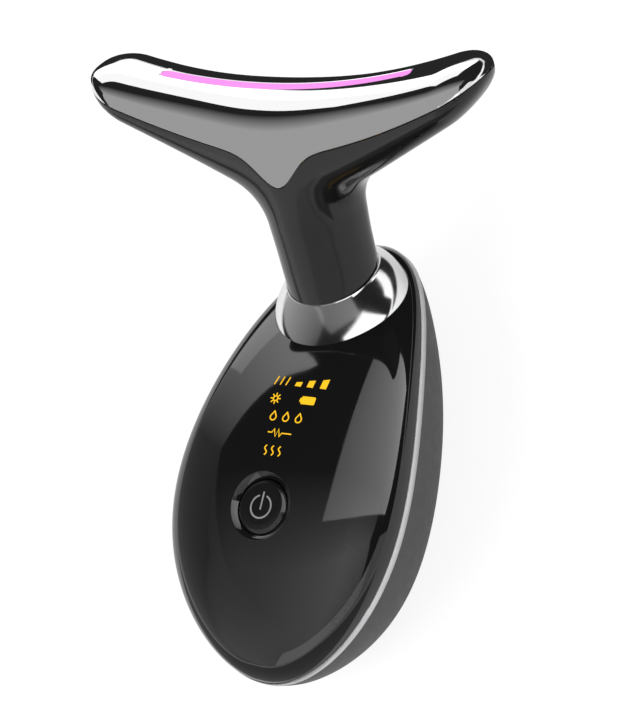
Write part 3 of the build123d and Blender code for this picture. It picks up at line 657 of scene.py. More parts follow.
class TONER_OT_trim_band(bpy.types.Operator):
    """Builds the silver band between the shells"""

    bl_idname = "toner.trim_band"
    bl_label = "Trim Band"

    def execute(self, context):
        h = handle_sizes()
        maker = Maker()
        half, bend = h.trim / 2, 0.14
        loops = []
        for side, turns in ((1, (0.0, 0.5, 1.0)), (-1, (1.0, 0.5, 0.0))):
            stops = [edge_loop(maker, -h.trim_proud + bend * (1 - math.cos(t * math.pi / 2)), side,
                               half - bend * (1 - math.sin(t * math.pi / 2))) for t in turns]
            if side > 0:
                loops += stops + [edge_loop(maker, h.trim_rail, side, half)]
            else:
                loops += [edge_loop(maker, h.trim_rail, side, half)] + stops
        for a, b in zip(loops, loops[1:] + loops[:1]):
            maker.bridge(a, b)
        band = add_object("silver_band", maker.mesh("silver_band"))
        smooth(band.data, 40)
        finish_piece(band, CASING, "trim_silver", brushed_silver(), "trim_band")
        return {"FINISHED"}


# ================================================================ button
BUTTON_RADIUS = 5.05
BEZEL_SLOPE_DEPTH = 1.0
BEZEL_DEPTH = 2.9


def follow_face(data, reach, centre_y, top):
    """Bends a turned rim so that its outer edge lies on the front face."""
    for vertex in data.vertices:
        x, y, z = (v / MM for v in vertex.co)
        share = min(1.0, math.hypot(x, y - centre_y) / reach)
        if z > top - BEZEL_SLOPE_DEPTH - 0.01:
            lift = (z - top + BEZEL_SLOPE_DEPTH) / BEZEL_SLOPE_DEPTH
            vertex.co.z += MM * lift * share**2 * (float(face_z(x, y)) - top)


class TONER_OT_power_button(bpy.types.Operator):
    """Builds the bezel, the cap and its power symbol"""

    bl_idname = "toner.power_button"
    bl_label = "Power Button"

    def execute(self, context):
        top = float(face_z(0.0, BUTTON_Y))
        bore = BUTTON_RADIUS + 0.2
        flange = BEZEL_RADIUS + 1.2
        profile = [
            (flange, top - 1.9), (BEZEL_RADIUS - 0.03, top - 1.8), (BEZEL_RADIUS - 0.03, top - 0.01),
            (BEZEL_RADIUS - 0.15, top - 0.01), (bore, top - BEZEL_SLOPE_DEPTH), (bore, top - BEZEL_DEPTH),
            (flange, top - BEZEL_DEPTH), (flange, top - 1.9),
        ]
        ring = lathe(rounded(profile, 0.05, 2)[:-1], 128, closed=True).mesh("button_ring")
        ring.transform(Matrix.Translation((0, BUTTON_Y * MM, 0)))
        follow_face(ring, BEZEL_RADIUS, BUTTON_Y, top)
        piece = add_object("button_ring", ring)
        smooth(piece.data, 28)
        finish_piece(piece, CASING, "bezel_black", gloss_black(), "button_bezel")

        low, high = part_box("power_button")
        crown, base = high.z / MM, low.z / MM
        flange_top = top - BEZEL_DEPTH - 0.1
        profile = [
            (0, base), (1.7, base), (1.7, flange_top - 0.7), (BEZEL_RADIUS, flange_top - 0.7),
            (BEZEL_RADIUS, flange_top), (BUTTON_RADIUS, flange_top), (BUTTON_RADIUS, crown - 0.62),
            (BUTTON_RADIUS - 0.62, crown - 0.06), (BUTTON_RADIUS - 1.6, crown), (0, crown),
        ]
        cap = lathe(rounded(profile, 0.09, 3), 128).mesh("button_cap")
        cap.transform(Matrix.Translation((0, BUTTON_Y * MM, 0)))
        piece = add_object("button_cap", cap)
        smooth(piece.data, 28)
        finish_piece(piece, BUTTON, "button_black", button_black(), "power_button")

        maker = Maker()
        gap, ring_radius, pen = math.radians(24), 2.12, 0.32
        sweep = [math.pi / 2 + gap + (2 * math.pi - 2 * gap) * i / 60 for i in range(61)]
        centre_y = BUTTON_Y + 0.02
        arc = [(ring_radius * math.cos(a), centre_y - 0.1 + ring_radius * math.sin(a)) for a in sweep]
        stem = [(0, centre_y - 0.55 + 3.1 * i / 12) for i in range(13)]
        for line in (arc, stem):
            stroke(maker, line, pen, lambda x, y: crown - 0.02, 0.035)
        symbol = add_object("power_symbol", maker.mesh("power_symbol"))
        finish_piece(symbol, BUTTON, "sleeve_grey", printed_grey())
        return {"FINISHED"}


# ================================================================ lit marks
def slab(maker, outline, ground, thick):
    """A thin closed slab over an outline, lying on a ground height."""
    top = maker.loop([(x, y, ground(x, y) + thick) for x, y in outline])
    bottom = maker.loop([(x, y, ground(x, y) - thick) for x, y in outline])
    maker.bridge(bottom, top)
    maker.faces += [tuple(top), tuple(reversed(bottom))]


def stroke(maker, line, pen, ground, thick, round_steps=6):
    """A pen stroke with round ends along a line of points."""
    half = pen / 2
    sides = ([], [])
    for i, (x, y) in enumerate(line):
        x0, y0 = line[max(0, i - 1)]
        x1, y1 = line[min(len(line) - 1, i + 1)]
        heading = math.atan2(y1 - y0, x1 - x0)
        for side, points in zip((1, -1), sides):
            turn = heading + side * math.pi / 2
            points.append((x + half * math.cos(turn), y + half * math.sin(turn)))
    headings = []
    for a, b in ((line[-2], line[-1]), (line[1], line[0])):
        headings.append(math.atan2(b[1] - a[1], b[0] - a[0]))
    caps = []
    for (x, y), heading in zip((line[-1], line[0]), headings):
        turns = [heading + math.pi / 2 - math.pi * k / round_steps for k in range(1, round_steps)]
        caps.append([(x + half * math.cos(a), y + half * math.sin(a)) for a in turns])
    upper, lower = sides
    rows = [maker.loop([(x, y, ground(x, y) + lift) for x, y in upper + caps[0] + lower[::-1] + caps[1]])
            for lift in (thick, -thick)]
    maker.bridge(*rows)
    count = len(line)
    for row in rows:
        left, end, right, start = (row[:count], row[count:count + round_steps - 1],
                                   row[count + round_steps - 1:2 * count + round_steps - 1],
                                   row[2 * count + round_steps - 1:])
        right = right[::-1]
        for i in range(count - 1):
            maker.faces.append((left[i], left[i + 1], right[i + 1], right[i]))
        maker.faces.append(tuple([left[-1]] + end + [right[-1]]))
        maker.faces.append(tuple([right[0]] + start + [left[0]]))


def arc_points(x, y, radius, start, end, steps):
    """Points of an arc, angles in degrees."""
    turns = [math.radians(start + (end - start) * i / steps) for i in range(steps + 1)]
    return [(x + radius * math.cos(a), y + radius * math.sin(a)) for a in turns]


def straight(x0, y0, x1, y1, steps=4):
    """Points of a straight line."""
    return [(x0 + (x1 - x0) * i / steps, y0 + (y1 - y0) * i / steps) for i in range(steps + 1)]


MARK_PEN = 0.24
MARK_THICKNESS = 0.03
MARK_ROWS = {"slants": 15.35, "star": 11.75, "drops": 8.35, "pulse": 5.2, "waves": 1.8}


def mark_strokes():
    """Pen strokes of the simple symbols, row by row, as lists of points."""
    lines = []
    y = MARK_ROWS["slants"]
    for i in range(3):
        lines.append(straight(-4.1 + 1.25 * i, y - 0.75, -3.7 + 1.25 * i, y + 0.75))
    x, y = -2.75, MARK_ROWS["star"]
    lines.append(arc_points(x, y, 0.48, 0, 360, 20)[:-1] + [(x + 0.48, y)])
    for i in range(8):
        a = math.radians(45 * i)
        lines.append(straight(x + 0.72 * math.cos(a), y + 0.72 * math.sin(a),
                              x + 1.02 * math.cos(a), y + 1.02 * math.sin(a), 2))
    y = MARK_ROWS["drops"]
    for x in (-1.95, 0.8, 3.55):
        tip = [(x, y + 0.95), (x - 0.3, y + 0.45)]
        lines.append(tip + arc_points(x, y - 0.2, 0.62, 160, 380, 16) + [(x + 0.3, y + 0.45), (x, y + 0.95)])
    y = MARK_ROWS["pulse"]
    pulse = [(-2.0, 0), (-1.2, 0), (-0.85, 0.75), (-0.3, -0.75), (0.1, 0.75), (0.6, -0.75), (0.95, 0),
             (1.9, 0), (2.9, 0)]
    lines.append([(px, y + py) for px, py in pulse])
    y = MARK_ROWS["waves"]
    for x in (-1.5, 0.0, 1.5):
        wave = [(x + 0.28 * math.sin(2 * math.pi * t / 12), y - 0.85 + 1.7 * t / 12) for t in range(13)]
        lines.append(wave)
    return lines


def mark_fills():
    """Filled shapes: three rising bars and a battery."""
    shapes = []
    for x, high in ((0.35, 0.95), (2.95, 1.5), (5.75, 2.0)):
        shapes.append([(x, 14.55), (x + 1.3, 14.5), (x + 1.45, 14.5 + high), (x + 0.15, 14.5 + high * 0.86)])
    x, y = 2.6, 11.15
    body = [(x + 0.35, y), (x + 2.95, y), (x + 3.15, y + 0.2), (x + 3.15, y + 1.35), (x + 2.95, y + 1.55),
            (x + 0.35, y + 1.55), (x + 0.2, y + 1.2), (x - 0.1, y + 1.1), (x - 0.1, y + 0.45),
            (x + 0.2, y + 0.35)]
    return shapes + [body]


class TONER_OT_lit_marks(bpy.types.Operator):
    """Builds the amber marks that show through the front"""

    bl_idname = "toner.lit_marks"
    bl_label = "Lit Marks"

    def execute(self, context):
        maker = Maker()

        def ground(x, y):
            return float(face_z(x, y))

        for line in mark_strokes():
            stroke(maker, line, MARK_PEN, ground, MARK_THICKNESS)
        for outline in mark_fills():
            slab(maker, outline, ground, MARK_THICKNESS)
        marks = add_object("lit_marks", maker.mesh("lit_marks"))
        finish_piece(marks, CASING, "led_amber", lit_mark())
        return {"FINISHED"}


# ================================================================ head form
HEAD_ORIGIN = np.array((0.0, 62.75, 56.58))
HEAD_RISE = math.radians(38.6)
ALONG = np.array((0.0, math.sin(HEAD_RISE), math.cos(HEAD_RISE)))
FORWARD = np.array((0.0, -math.cos(HEAD_RISE), math.sin(HEAD_RISE)))
RIDGE_CURVE = 0.004
FIELD_STEP = 0.2        # step of the slope that places the head's skin
SHADING_STEP = 0.8      # wider step of its shading, which evens out small kinks


def hyperbola(x, middle, slope_far, roundness):
    """A curve that is round at x = 0 and straight far from it."""
    return middle + slope_far * (np.sqrt(x * x + roundness**2) - roundness)


def ridge(x):
    """Height of the working ridge."""
    return RIDGE_CURVE * x * x


def underside(x):
    """Height of the horn's lower outline."""
    return hyperbola(x, -22.5, 0.566, 5.0)


def plate_edge(x):
    """Height of the chrome plate's lower edge."""
    return hyperbola(x, -9.0, 0.63, 37.0) - 6.1 * np.exp(-((x / 5.1) ** 2))


def half_thickness(x):
    """Half the horn's thickness."""
    h = head_sizes()
    return h.half_thickness + h.swell * np.exp(-((x / h.swell_reach) ** 2))


def to_head(points):
    """Row frame to the head's x, along and forward."""
    offset = points - HEAD_ORIGIN
    return np.stack([offset[:, 0], offset @ ALONG, offset @ FORWARD], axis=1)


def from_head(points):
    """The head's x, along and forward to the row frame."""
    points = np.atleast_2d(np.asarray(points, float))
    spread = points[:, 1:2] * ALONG + points[:, 2:3] * FORWARD
    return HEAD_ORIGIN + spread + np.stack([points[:, 0], 0 * points[:, 0], 0 * points[:, 0]], axis=1)


def horn_gap(q):
    """Signed radial gap to the horn, for points in the head's axes."""
    h = head_sizes()
    x = np.abs(q[:, 0])
    limit = np.minimum(x, h.half_span)
    middle = (ridge(limit) + underside(limit)) / 2
    half_height = (ridge(limit) - underside(limit)) / 2
    thick = half_thickness(limit)
    u, v = q[:, 1] - middle, q[:, 2]
    n = h.squareness
    across = ((np.abs(u) / half_height) ** n + (np.abs(v) / thick) ** n) ** (1 / n)
    end = np.maximum(0, (x - (h.half_span - h.tip)) / h.tip)
    share = np.sqrt(across**2 + end**2) + 1e-9
    reach = np.sqrt(u * u + v * v + (end * h.tip) ** 2)
    return reach * (1 - 1 / share)


def neck_stations():
    """Centre (Y, Z) and radius of the neck's rings, in millimetres."""
    rings = []
    for height, radius, shift in ((-6.4, 8.4, 0.0), (0.0, 8.4, 0.0), (5.4, 8.8, 1.8)):
        centre = COLLAR_ORIGIN + COLLAR_AXIS * height
        centre.y += shift * math.cos(COLLAR_LEAN)
        centre.z -= shift * math.sin(COLLAR_LEAN)
        rings.append((centre.y, centre.z, radius))
    on_head = ((-30.0, 9.0, 1.3), (-24.0, 9.3, 0.9), (-18.0, 9.35, 0.5), (-11.5, 9.0, 0.0))
    for place, radius, forward in on_head:
        centre = from_head([(0, place, forward)])[0]
        rings.append((centre[1], centre[2], radius))
    return np.array(rings)


def spline_rows(places, rows, samples):
    """A natural cubic through rows of numbers at given places."""
    places, rows, samples = (np.asarray(part, float) for part in (places, rows, samples))
    last, gaps = len(places) - 1, np.diff(places)
    matrix, target = np.eye(last + 1), np.zeros_like(rows)
    for i in range(1, last):
        matrix[i, i - 1:i + 2] = gaps[i - 1], 2 * (gaps[i - 1] + gaps[i]), gaps[i]
        target[i] = 6 * ((rows[i + 1] - rows[i]) / gaps[i] - (rows[i] - rows[i - 1]) / gaps[i - 1])
    bend = np.linalg.solve(matrix, target)
    index = np.clip(np.searchsorted(places, samples, side="right") - 1, 0, last - 1)
    width = gaps[index][:, None]
    a = (places[index + 1] - samples)[:, None] / width
    b = 1 - a
    curve = a * rows[index] + b * rows[index + 1]
    return curve + ((a**3 - a) * bend[index] + (b**3 - b) * bend[index + 1]) * width**2 / 6


def neck_axis(count=40):
    """Points (Y, Z) and radii along the neck's bent axis."""
    rows = neck_stations()
    places = np.concatenate([[0], np.cumsum(np.linalg.norm(np.diff(rows[:, :2], axis=0), axis=1))])
    return spline_rows(places, rows, np.linspace(0, places[-1], count))


def neck_gap(points, axis):
    """Signed gap to the neck, a round bar along a bent axis in the middle plane."""
    flat = points[:, 1:]
    starts, ends = axis[:-1, :2], axis[1:, :2]
    best = np.full(len(points), np.inf)
    radius = np.empty(len(points))
    for start, end, r0, r1 in zip(starts, ends, axis[:-1, 2], axis[1:, 2]):
        run = end - start
        t = np.clip(((flat - start) @ run) / (run @ run), 0, 1)
        gap = np.linalg.norm(flat - start - t[:, None] * run, axis=1)
        closer = gap < best
        best = np.where(closer, gap, best)
        radius = np.where(closer, r0 + t * (r1 - r0), radius)
    return np.sqrt(points[:, 0] ** 2 + best**2) - radius


def blend_share(points, axis):
    """How far from parallel the horn's and the neck's surfaces are, 0 to 1."""
    step = 0.05
    dot, horn_size, neck_size = (np.zeros(len(points)) for _ in range(3))
    for k in range(3):
        shift = np.zeros(3)
        shift[k] = step
        horn = horn_gap(to_head(points + shift)) - horn_gap(to_head(points - shift))
        neck = neck_gap(points + shift, axis) - neck_gap(points - shift, axis)
        dot += horn * neck
        horn_size += horn * horn
        neck_size += neck * neck
    return np.clip(1 - dot / np.maximum(np.sqrt(horn_size * neck_size), 1e-12), 0, 1)


def head_field(points, axis):
    """The head's field: horn and neck, with a fillet where they meet at an angle."""
    horn, neck = horn_gap(to_head(points)), neck_gap(points, axis)
    field = np.minimum(horn, neck)
    near = np.abs(field) < 4.5
    width = 2.0 + head_sizes().blend * blend_share(points[near], axis)
    a, b = horn[near], neck[near]
    mix = np.clip(0.5 + 0.5 * (b - a) / width, 0, 1)
    field[near] = b * (1 - mix) + a * mix - width * mix * (1 - mix)
    return field


def net_surface(field, low, high, cell):
    """Points and quads of the zero surface of a field, one point in each cell that it crosses."""
    counts = np.ceil((high - low) / cell).astype(int) + 1
    axes = [low[k] + cell * np.arange(counts[k]) for k in range(3)]
    grid = np.stack(np.meshgrid(*axes, indexing="ij"), axis=-1)
    inside = (field(grid.reshape(-1, 3)) < 0).reshape(counts)
    corners = sum(inside[i:counts[0] - 1 + i, j:counts[1] - 1 + j, k:counts[2] - 1 + k].astype(int)
                  for i in (0, 1) for j in (0, 1) for k in (0, 1))
    crossed = (corners > 0) & (corners < 8)
    number = np.full(crossed.shape, -1)
    number[crossed] = np.arange(crossed.sum())
    points = low + cell * (np.argwhere(crossed) + 0.5)
    faces = []
    for axis in range(3):
        u, v = [k for k in range(3) if k != axis]
        ahead = np.moveaxis(inside, (axis, u, v), (0, 1, 2))
        cells = np.moveaxis(number, (axis, u, v), (0, 1, 2))
        step = ahead[:-1, 1:-1, 1:-1].astype(int) - ahead[1:, 1:-1, 1:-1]
        for i, j, k in np.argwhere(step != 0):
            quad = [cells[i, j, k], cells[i, j + 1, k], cells[i, j + 1, k + 1], cells[i, j, k + 1]]
            flip = (step[i, j, k] > 0) == (axis == 1)
            faces.append(tuple(int(q) for q in (quad[::-1] if flip else quad)))
    return points, faces


def relax(points, faces, field, rounds=6):
    """Evens out a surface mesh and lays it on its form."""
    quads = np.array(faces)
    pairs = np.concatenate([quads[:, [i, (i + 1) % 4]] for i in range(4)])
    pairs = np.concatenate([pairs, pairs[:, ::-1]])
    count = np.bincount(pairs[:, 0], minlength=len(points))[:, None]
    for turn in range(rounds):
        if turn:
            mean = np.zeros_like(points)
            np.add.at(mean, pairs[:, 0], points[pairs[:, 1]])
            points = points + 0.6 * (mean / count - points)
        for _ in range(2):
            distance, direction = slope(field, points, FIELD_STEP)
            points = points - np.clip(distance, -0.5, 0.5)[:, None] * direction
    return points


def score(work, level, kept):
    """Cuts a mesh along the zero line of a level; kept holds the points that may not move."""
    level_at = dict(zip(work.verts, level(np.array([v.co for v in work.verts]) / MM)))
    for v, value in level_at.items():
        if abs(value) < 1e-6:
            kept.add(v)
    for edge in list(work.edges):
        a, b = edge.verts
        if level_at[a] * level_at[b] < 0:
            share = level_at[a] / (level_at[a] - level_at[b])
            near, part = (a, share) if share < 0.5 else (b, 1 - share)
            if part < 0.18 and near not in kept:
                near.co = a.co.lerp(b.co, share)
                level_at[near] = 0.0
                kept.add(near)
    for edge in list(work.edges):
        a, b = edge.verts
        if level_at[a] * level_at[b] < 0:
            share = level_at[a] / (level_at[a] - level_at[b])
            _, fresh = bmesh.utils.edge_split(edge, a, share)
            level_at[fresh] = 0.0
            kept.add(fresh)
    for face in list(work.faces):
        line = [v for v in face.verts if abs(level_at[v]) < 1e-9]
        if len(line) == 2 and not any(set(e.verts) == set(line) for e in face.edges):
            bmesh.utils.face_split(face, line[0], line[1])
    return level_at


def edge_level(points):
    """Above zero on the ridge side of the plate's edge, in millimetres."""
    q = to_head(points)
    slant = np.sqrt(1 + ((plate_edge(q[:, 0] + 0.05) - plate_edge(q[:, 0] - 0.05)) / 0.1) ** 2)
    return (q[:, 1] - plate_edge(q[:, 0])) / slant


def window_level(points):
    """Below zero inside the light strip's outline."""
    h, q = head_sizes(), to_head(points)
    half = h.window_width / 2
    past = np.maximum(0, np.abs(q[:, 0]) - (h.window_half_length - half))
    return np.where(q[:, 1] < ridge(q[:, 0]) - 5, 9.0, np.sqrt(past**2 + q[:, 2] ** 2) - half)


def part_of(work, keep, field, thickness, sink, name):
    """A closed piece cut out of the head's skin, with a slightly sunk edge and an inner skin."""
    piece = work.copy()
    piece.faces.ensure_lookup_table()
    middles = np.array([face.calc_center_median() for face in piece.faces]) / MM
    wanted = keep(middles)
    bmesh.ops.delete(piece, geom=[f for f, w in zip(piece.faces, wanted) if not w], context="FACES")
    verts = list(piece.verts)
    _, direction = slope(field, np.array([v.co for v in verts]) / MM, FIELD_STEP)
    outward = {v: Vector(d) for v, d in zip(verts, direction)}
    border = {v for e in piece.edges if len(e.link_faces) == 1 for v in e.verts}
    rim = [e for e in piece.edges if len(e.link_faces) == 1]
    inner = {v: piece.verts.new(v.co - outward[v] * thickness * MM) for v in verts}
    for face in list(piece.faces):
        piece.faces.new([inner[v] for v in reversed(face.verts)])
    for edge in rim:
        a, b = edge.verts
        piece.faces.new([a, b, inner[b], inner[a]])
    for v in border:
        v.co -= outward[v] * sink * MM
    bmesh.ops.recalc_face_normals(piece, faces=piece.faces)
    data = bpy.data.meshes.new(name)
    piece.to_mesh(data)
    piece.free()
    return data


class TONER_OT_head(bpy.types.Operator):
    """Builds the black head and neck, the chrome plate and the light strip"""

    bl_idname = "toner.head"
    bl_label = "Head"

    def execute(self, context):
        h = head_sizes()
        axis = neck_axis()

        def field(points):
            return head_field(points, axis)

        low, high = (np.array(corner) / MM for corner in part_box("head_body"))
        top = np.array(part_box("treatment_plate")[1]) / MM
        points, faces = net_surface(field, low - 2.2, np.maximum(high, top) + 2.2, h.voxel)
        points = relax(points, faces, field)
        data = bpy.data.meshes.new("head_skin")
        data.from_pydata((points * MM).tolist(), [], faces)
        work = bmesh.new()
        work.from_mesh(data)
        bpy.data.meshes.remove(data)
        bmesh.ops.recalc_face_normals(work, faces=work.faces)
        cut = COLLAR_ORIGIN - COLLAR_AXIS * 6.0
        everything = work.verts[:] + work.edges[:] + work.faces[:]
        bmesh.ops.bisect_plane(work, geom=everything, plane_co=cut * MM, plane_no=COLLAR_AXIS,
                               clear_inner=True)
        kept = set()
        for level in (window_level, edge_level):
            for offset in (0.0, -h.seam, h.seam):
                score(work, lambda p: level(p) + offset, kept)
        verts = list(work.verts)
        place = np.array([v.co for v in verts]) / MM
        for _ in range(2):
            distance, direction = slope(field, place, FIELD_STEP)
            place -= np.clip(distance, -0.3, 0.3)[:, None] * direction
        for v, p in zip(verts, place):
            if not v.is_boundary:
                v.co = p * MM
        parts = (
            ("chrome_plate", lambda p: (edge_level(p) > 0) & (window_level(p) > 0), h.plate, 0.10,
             "chrome", chrome(), "treatment_plate"),
            ("light_strip", lambda p: window_level(p) < 0, h.window_depth, 0.06,
             "window_pink", lit_strip(), "led_window"),
            ("neck_and_core", lambda p: (edge_level(p) < 0) & (window_level(p) > 0), 1.9, 0.06,
             "neck_satin", neck_black(), "head_body"),
        )
        for name, keep, thickness, sink, slot, material, node in parts:
            piece = add_object(name, part_of(work, keep, field, thickness, sink, name))
            smooth(piece.data, 40)
            set_normals(piece.data, lambda p: slope(field, p, SHADING_STEP))
            finish_piece(piece, CASING, slot, material, node)
        work.free()
        return {"FINISHED"}


# ================================================================ collar
def collar_ring(height, radius, shift, lean, steps=128):
    """Points of a circle on the collar's axis, moved towards the nose and leaned."""
    across = Vector((0, math.cos(COLLAR_LEAN), -math.sin(COLLAR_LEAN)))
    centre = COLLAR_ORIGIN + COLLAR_AXIS * height + across * shift
    tilt = math.radians(lean)
    side = Vector((0, math.cos(tilt), -math.sin(tilt)))
    turns = [2 * math.pi * i / steps for i in range(steps)]
    return [centre + Vector((radius * math.cos(a), 0, 0)) + side * (radius * math.sin(a)) for a in turns]


class TONER_OT_collar(bpy.types.Operator):
    """Builds the bulging chrome ring between handle and neck"""

    bl_idname = "toner.collar"
    bl_label = "Chrome Collar"

    def execute(self, context):
        places = (-2.0, 0.0, 2.7, 5.4)
        rows = ((13.6, 0.0, 22.7), (13.1, 0.0, 22.7), (11.55, 0.9, 25.2), (8.95, 1.8, 27.7))
        heights = np.linspace(-1.6, 5.4, 29)
        outside = [(height, *row) for height, row in zip(heights, spline_rows(places, rows, heights))]
        height, radius, shift, lean = outside.pop()
        lip = []
        for i in range(5):
            turn = math.pi / 2 * i / 4
            lip.append((height - 0.22 * (1 - math.sin(turn)), radius + 0.22 * math.cos(turn), shift, lean))
        inside = [(height - 0.1, 8.86, shift, lean), (2.5, 8.6, 0.9, 25.2), (-1.6, 8.5, 0.0, 22.7)]
        maker = Maker()
        loops = [maker.loop(collar_ring(*ring)) for ring in outside[:-1] + lip + inside]
        for a, b in zip(loops, loops[1:] + loops[:1]):
            maker.bridge(a, b)
        collar = add_object("collar_ring", maker.mesh("collar_ring"))
        smooth(collar.data, 40)
        finish_piece(collar, CASING, "chrome", chrome("collar_chrome", 0.13), "chrome_collar")
        return {"FINISHED"}


# ================================================================ pieces inside
class TONER_OT_inner_pieces(bpy.types.Operator):
    """Gives every piece inside the casing its finish"""

    bl_idname = "toner.inner_pieces"
    bl_label = "Pieces Inside"

    def execute(self, context):
        slots = {entry["slot"]: entry for entry in frame["record"]["materials"]}
        slot_of = {entry["node"]: entry["material_slot"] for entry in frame["record"]["subparts"]}
        made = {}
        for name, node in frame["nodes"].items():
            if node.hide_render:
                continue
            slot = slot_of[name]
            if slot not in made:
                made[slot] = inner_finish(slots[slot])
            for place in node.material_slots:
                place.material = made[slot]
        return {"FINISHED"}


# ================================================================ stage
def emission(name, strength):
    """A plain glowing material."""
    material = bpy.data.materials.new(name)
    net = Network(material)
    net.node("OutputMaterial", net.add("Emission", Color=(1, 1, 1, 1), Strength=strength))
    return material


STUDIO_CENTRE = Vector((0.0, 0.02, 0.04))
CARD_REACH = 1.2
TENT_REACH = 1.6
TENT_EDGE = (
    (-180, -2), (-105, -2), (-100, 18), (-10, 18), (-5, -2),
    (95, -2), (100, 20), (150, 20), (155, -2), (180, -2),
)
TENT_GLOW = 0.015
SOFT_FILL = 0.55
FLOOR_HALF = 4.0
FLOOR_DROP = 0.0001
FLOOR_GREY = (0.24, 0.24, 0.24)
FLOOR_GLOW = 0.84


def aim(azimuth, elevation, reach=CARD_REACH):
    """A place in the studio, seen from the device in a direction given in degrees."""
    a, e = math.radians(azimuth), math.radians(elevation)
    return STUDIO_CENTRE + reach * Vector((math.cos(e) * math.cos(a), math.cos(e) * math.sin(a), math.sin(e)))


def reflected_only(card):
    """Lets a card show in glossy surfaces alone."""
    card.visible_camera = card.visible_diffuse = card.visible_shadow = False
    card.visible_transmission = card.visible_volume_scatter = False


def card_glow(name):
    """Glow from the card's own level, and clear for the pieces that it isn't meant for."""
    material = bpy.data.materials.new(name)
    net = Network(material)
    level = net.node("Attribute")
    level.attribute_name = "level"
    glow = net.node("Emission", Color=(1, 1, 1, 1))
    net.tree.links.new(level.outputs["Fac"], glow.inputs["Strength"])
    net.node("OutputMaterial", net.add("AddShader", glow.outputs[0], net.add("BsdfTransparent")))
    return material


def card(name, corners, levels, *pieces, steps=20):
    """A studio card with a level of glow at each corner, reflected by the named pieces."""
    a, b, c, d = (Vector(corner) for corner in corners)
    points, glow, faces = [], [], []
    for i in range(steps + 1):
        for j in range(steps + 1):
            u, v = i / steps, j / steps
            points.append(a.lerp(b, u).lerp(d.lerp(c, u), v))
            near, far = levels[0] + (levels[1] - levels[0]) * u, levels[3] + (levels[2] - levels[3]) * u
            glow.append(near + (far - near) * v)
    for i in range(steps):
        for j in range(steps):
            k = i * (steps + 1) + j
            faces.append((k, k + 1, k + steps + 2, k + steps + 1))
    data = bpy.data.meshes.new(name)
    data.from_pydata([tuple(p) for p in points], [], faces)
    data.attributes.new("level", "FLOAT", "POINT").data.foreach_set("value", glow)
    obj = add_object(name, data)
    obj.data.materials.append(card_glow(name))
    seen_by = bpy.data.collections.new(name)
    for piece in pieces:
        seen_by.objects.link(bpy.data.objects[piece])
    obj.light_linking.receiver_collection = seen_by
    reflected_only(obj)


def black_tent(turns=72, rises=12):
    """Black cloth over the device, open to the white studio at two sides."""
    points, faces = [], []
    edge = list(zip(*TENT_EDGE))
    for i in range(turns + 1):
        azimuth = -180 + 360 * i / turns
        low = float(np.interp(azimuth, *edge))
        points += [tuple(aim(azimuth, low + (90 - low) * j / rises, TENT_REACH)) for j in range(rises + 1)]
    for i in range(turns):
        for j in range(rises):
            k = i * (rises + 1) + j
            faces.append((k, k + rises + 1, k + rises + 2, k + 1))
    data = bpy.data.meshes.new("black_tent")
    data.from_pydata(points, [], faces)
    tent = add_object("black_tent", data)
    tent.data.materials.append(emission("tent_cloth", TENT_GLOW))
    reflected_only(tent)


def dark_floor(name, low, high, level, rise=0.0003):
    """A patch of the floor that looks darker in glossy surfaces."""
    (x0, y0), (x1, y1) = low, high
    data = bpy.data.meshes.new(name)
    data.from_pydata([(x0, y0, rise), (x1, y0, rise), (x1, y1, rise), (x0, y1, rise)], [], [(0, 1, 2, 3)])
    patch = add_object(name, data)
    patch.data.materials.append(emission(name, level))
    reflected_only(patch)


def towards(*directions):
    """Places in the studio, in directions given in degrees."""
    return [aim(*direction) for direction in directions]


def strip(left, right, near, far):
    """Corners of a card along X between two edges, each given by its Y and Z."""
    return [(left, *near), (right, *near), (right, *far), (left, *far)]


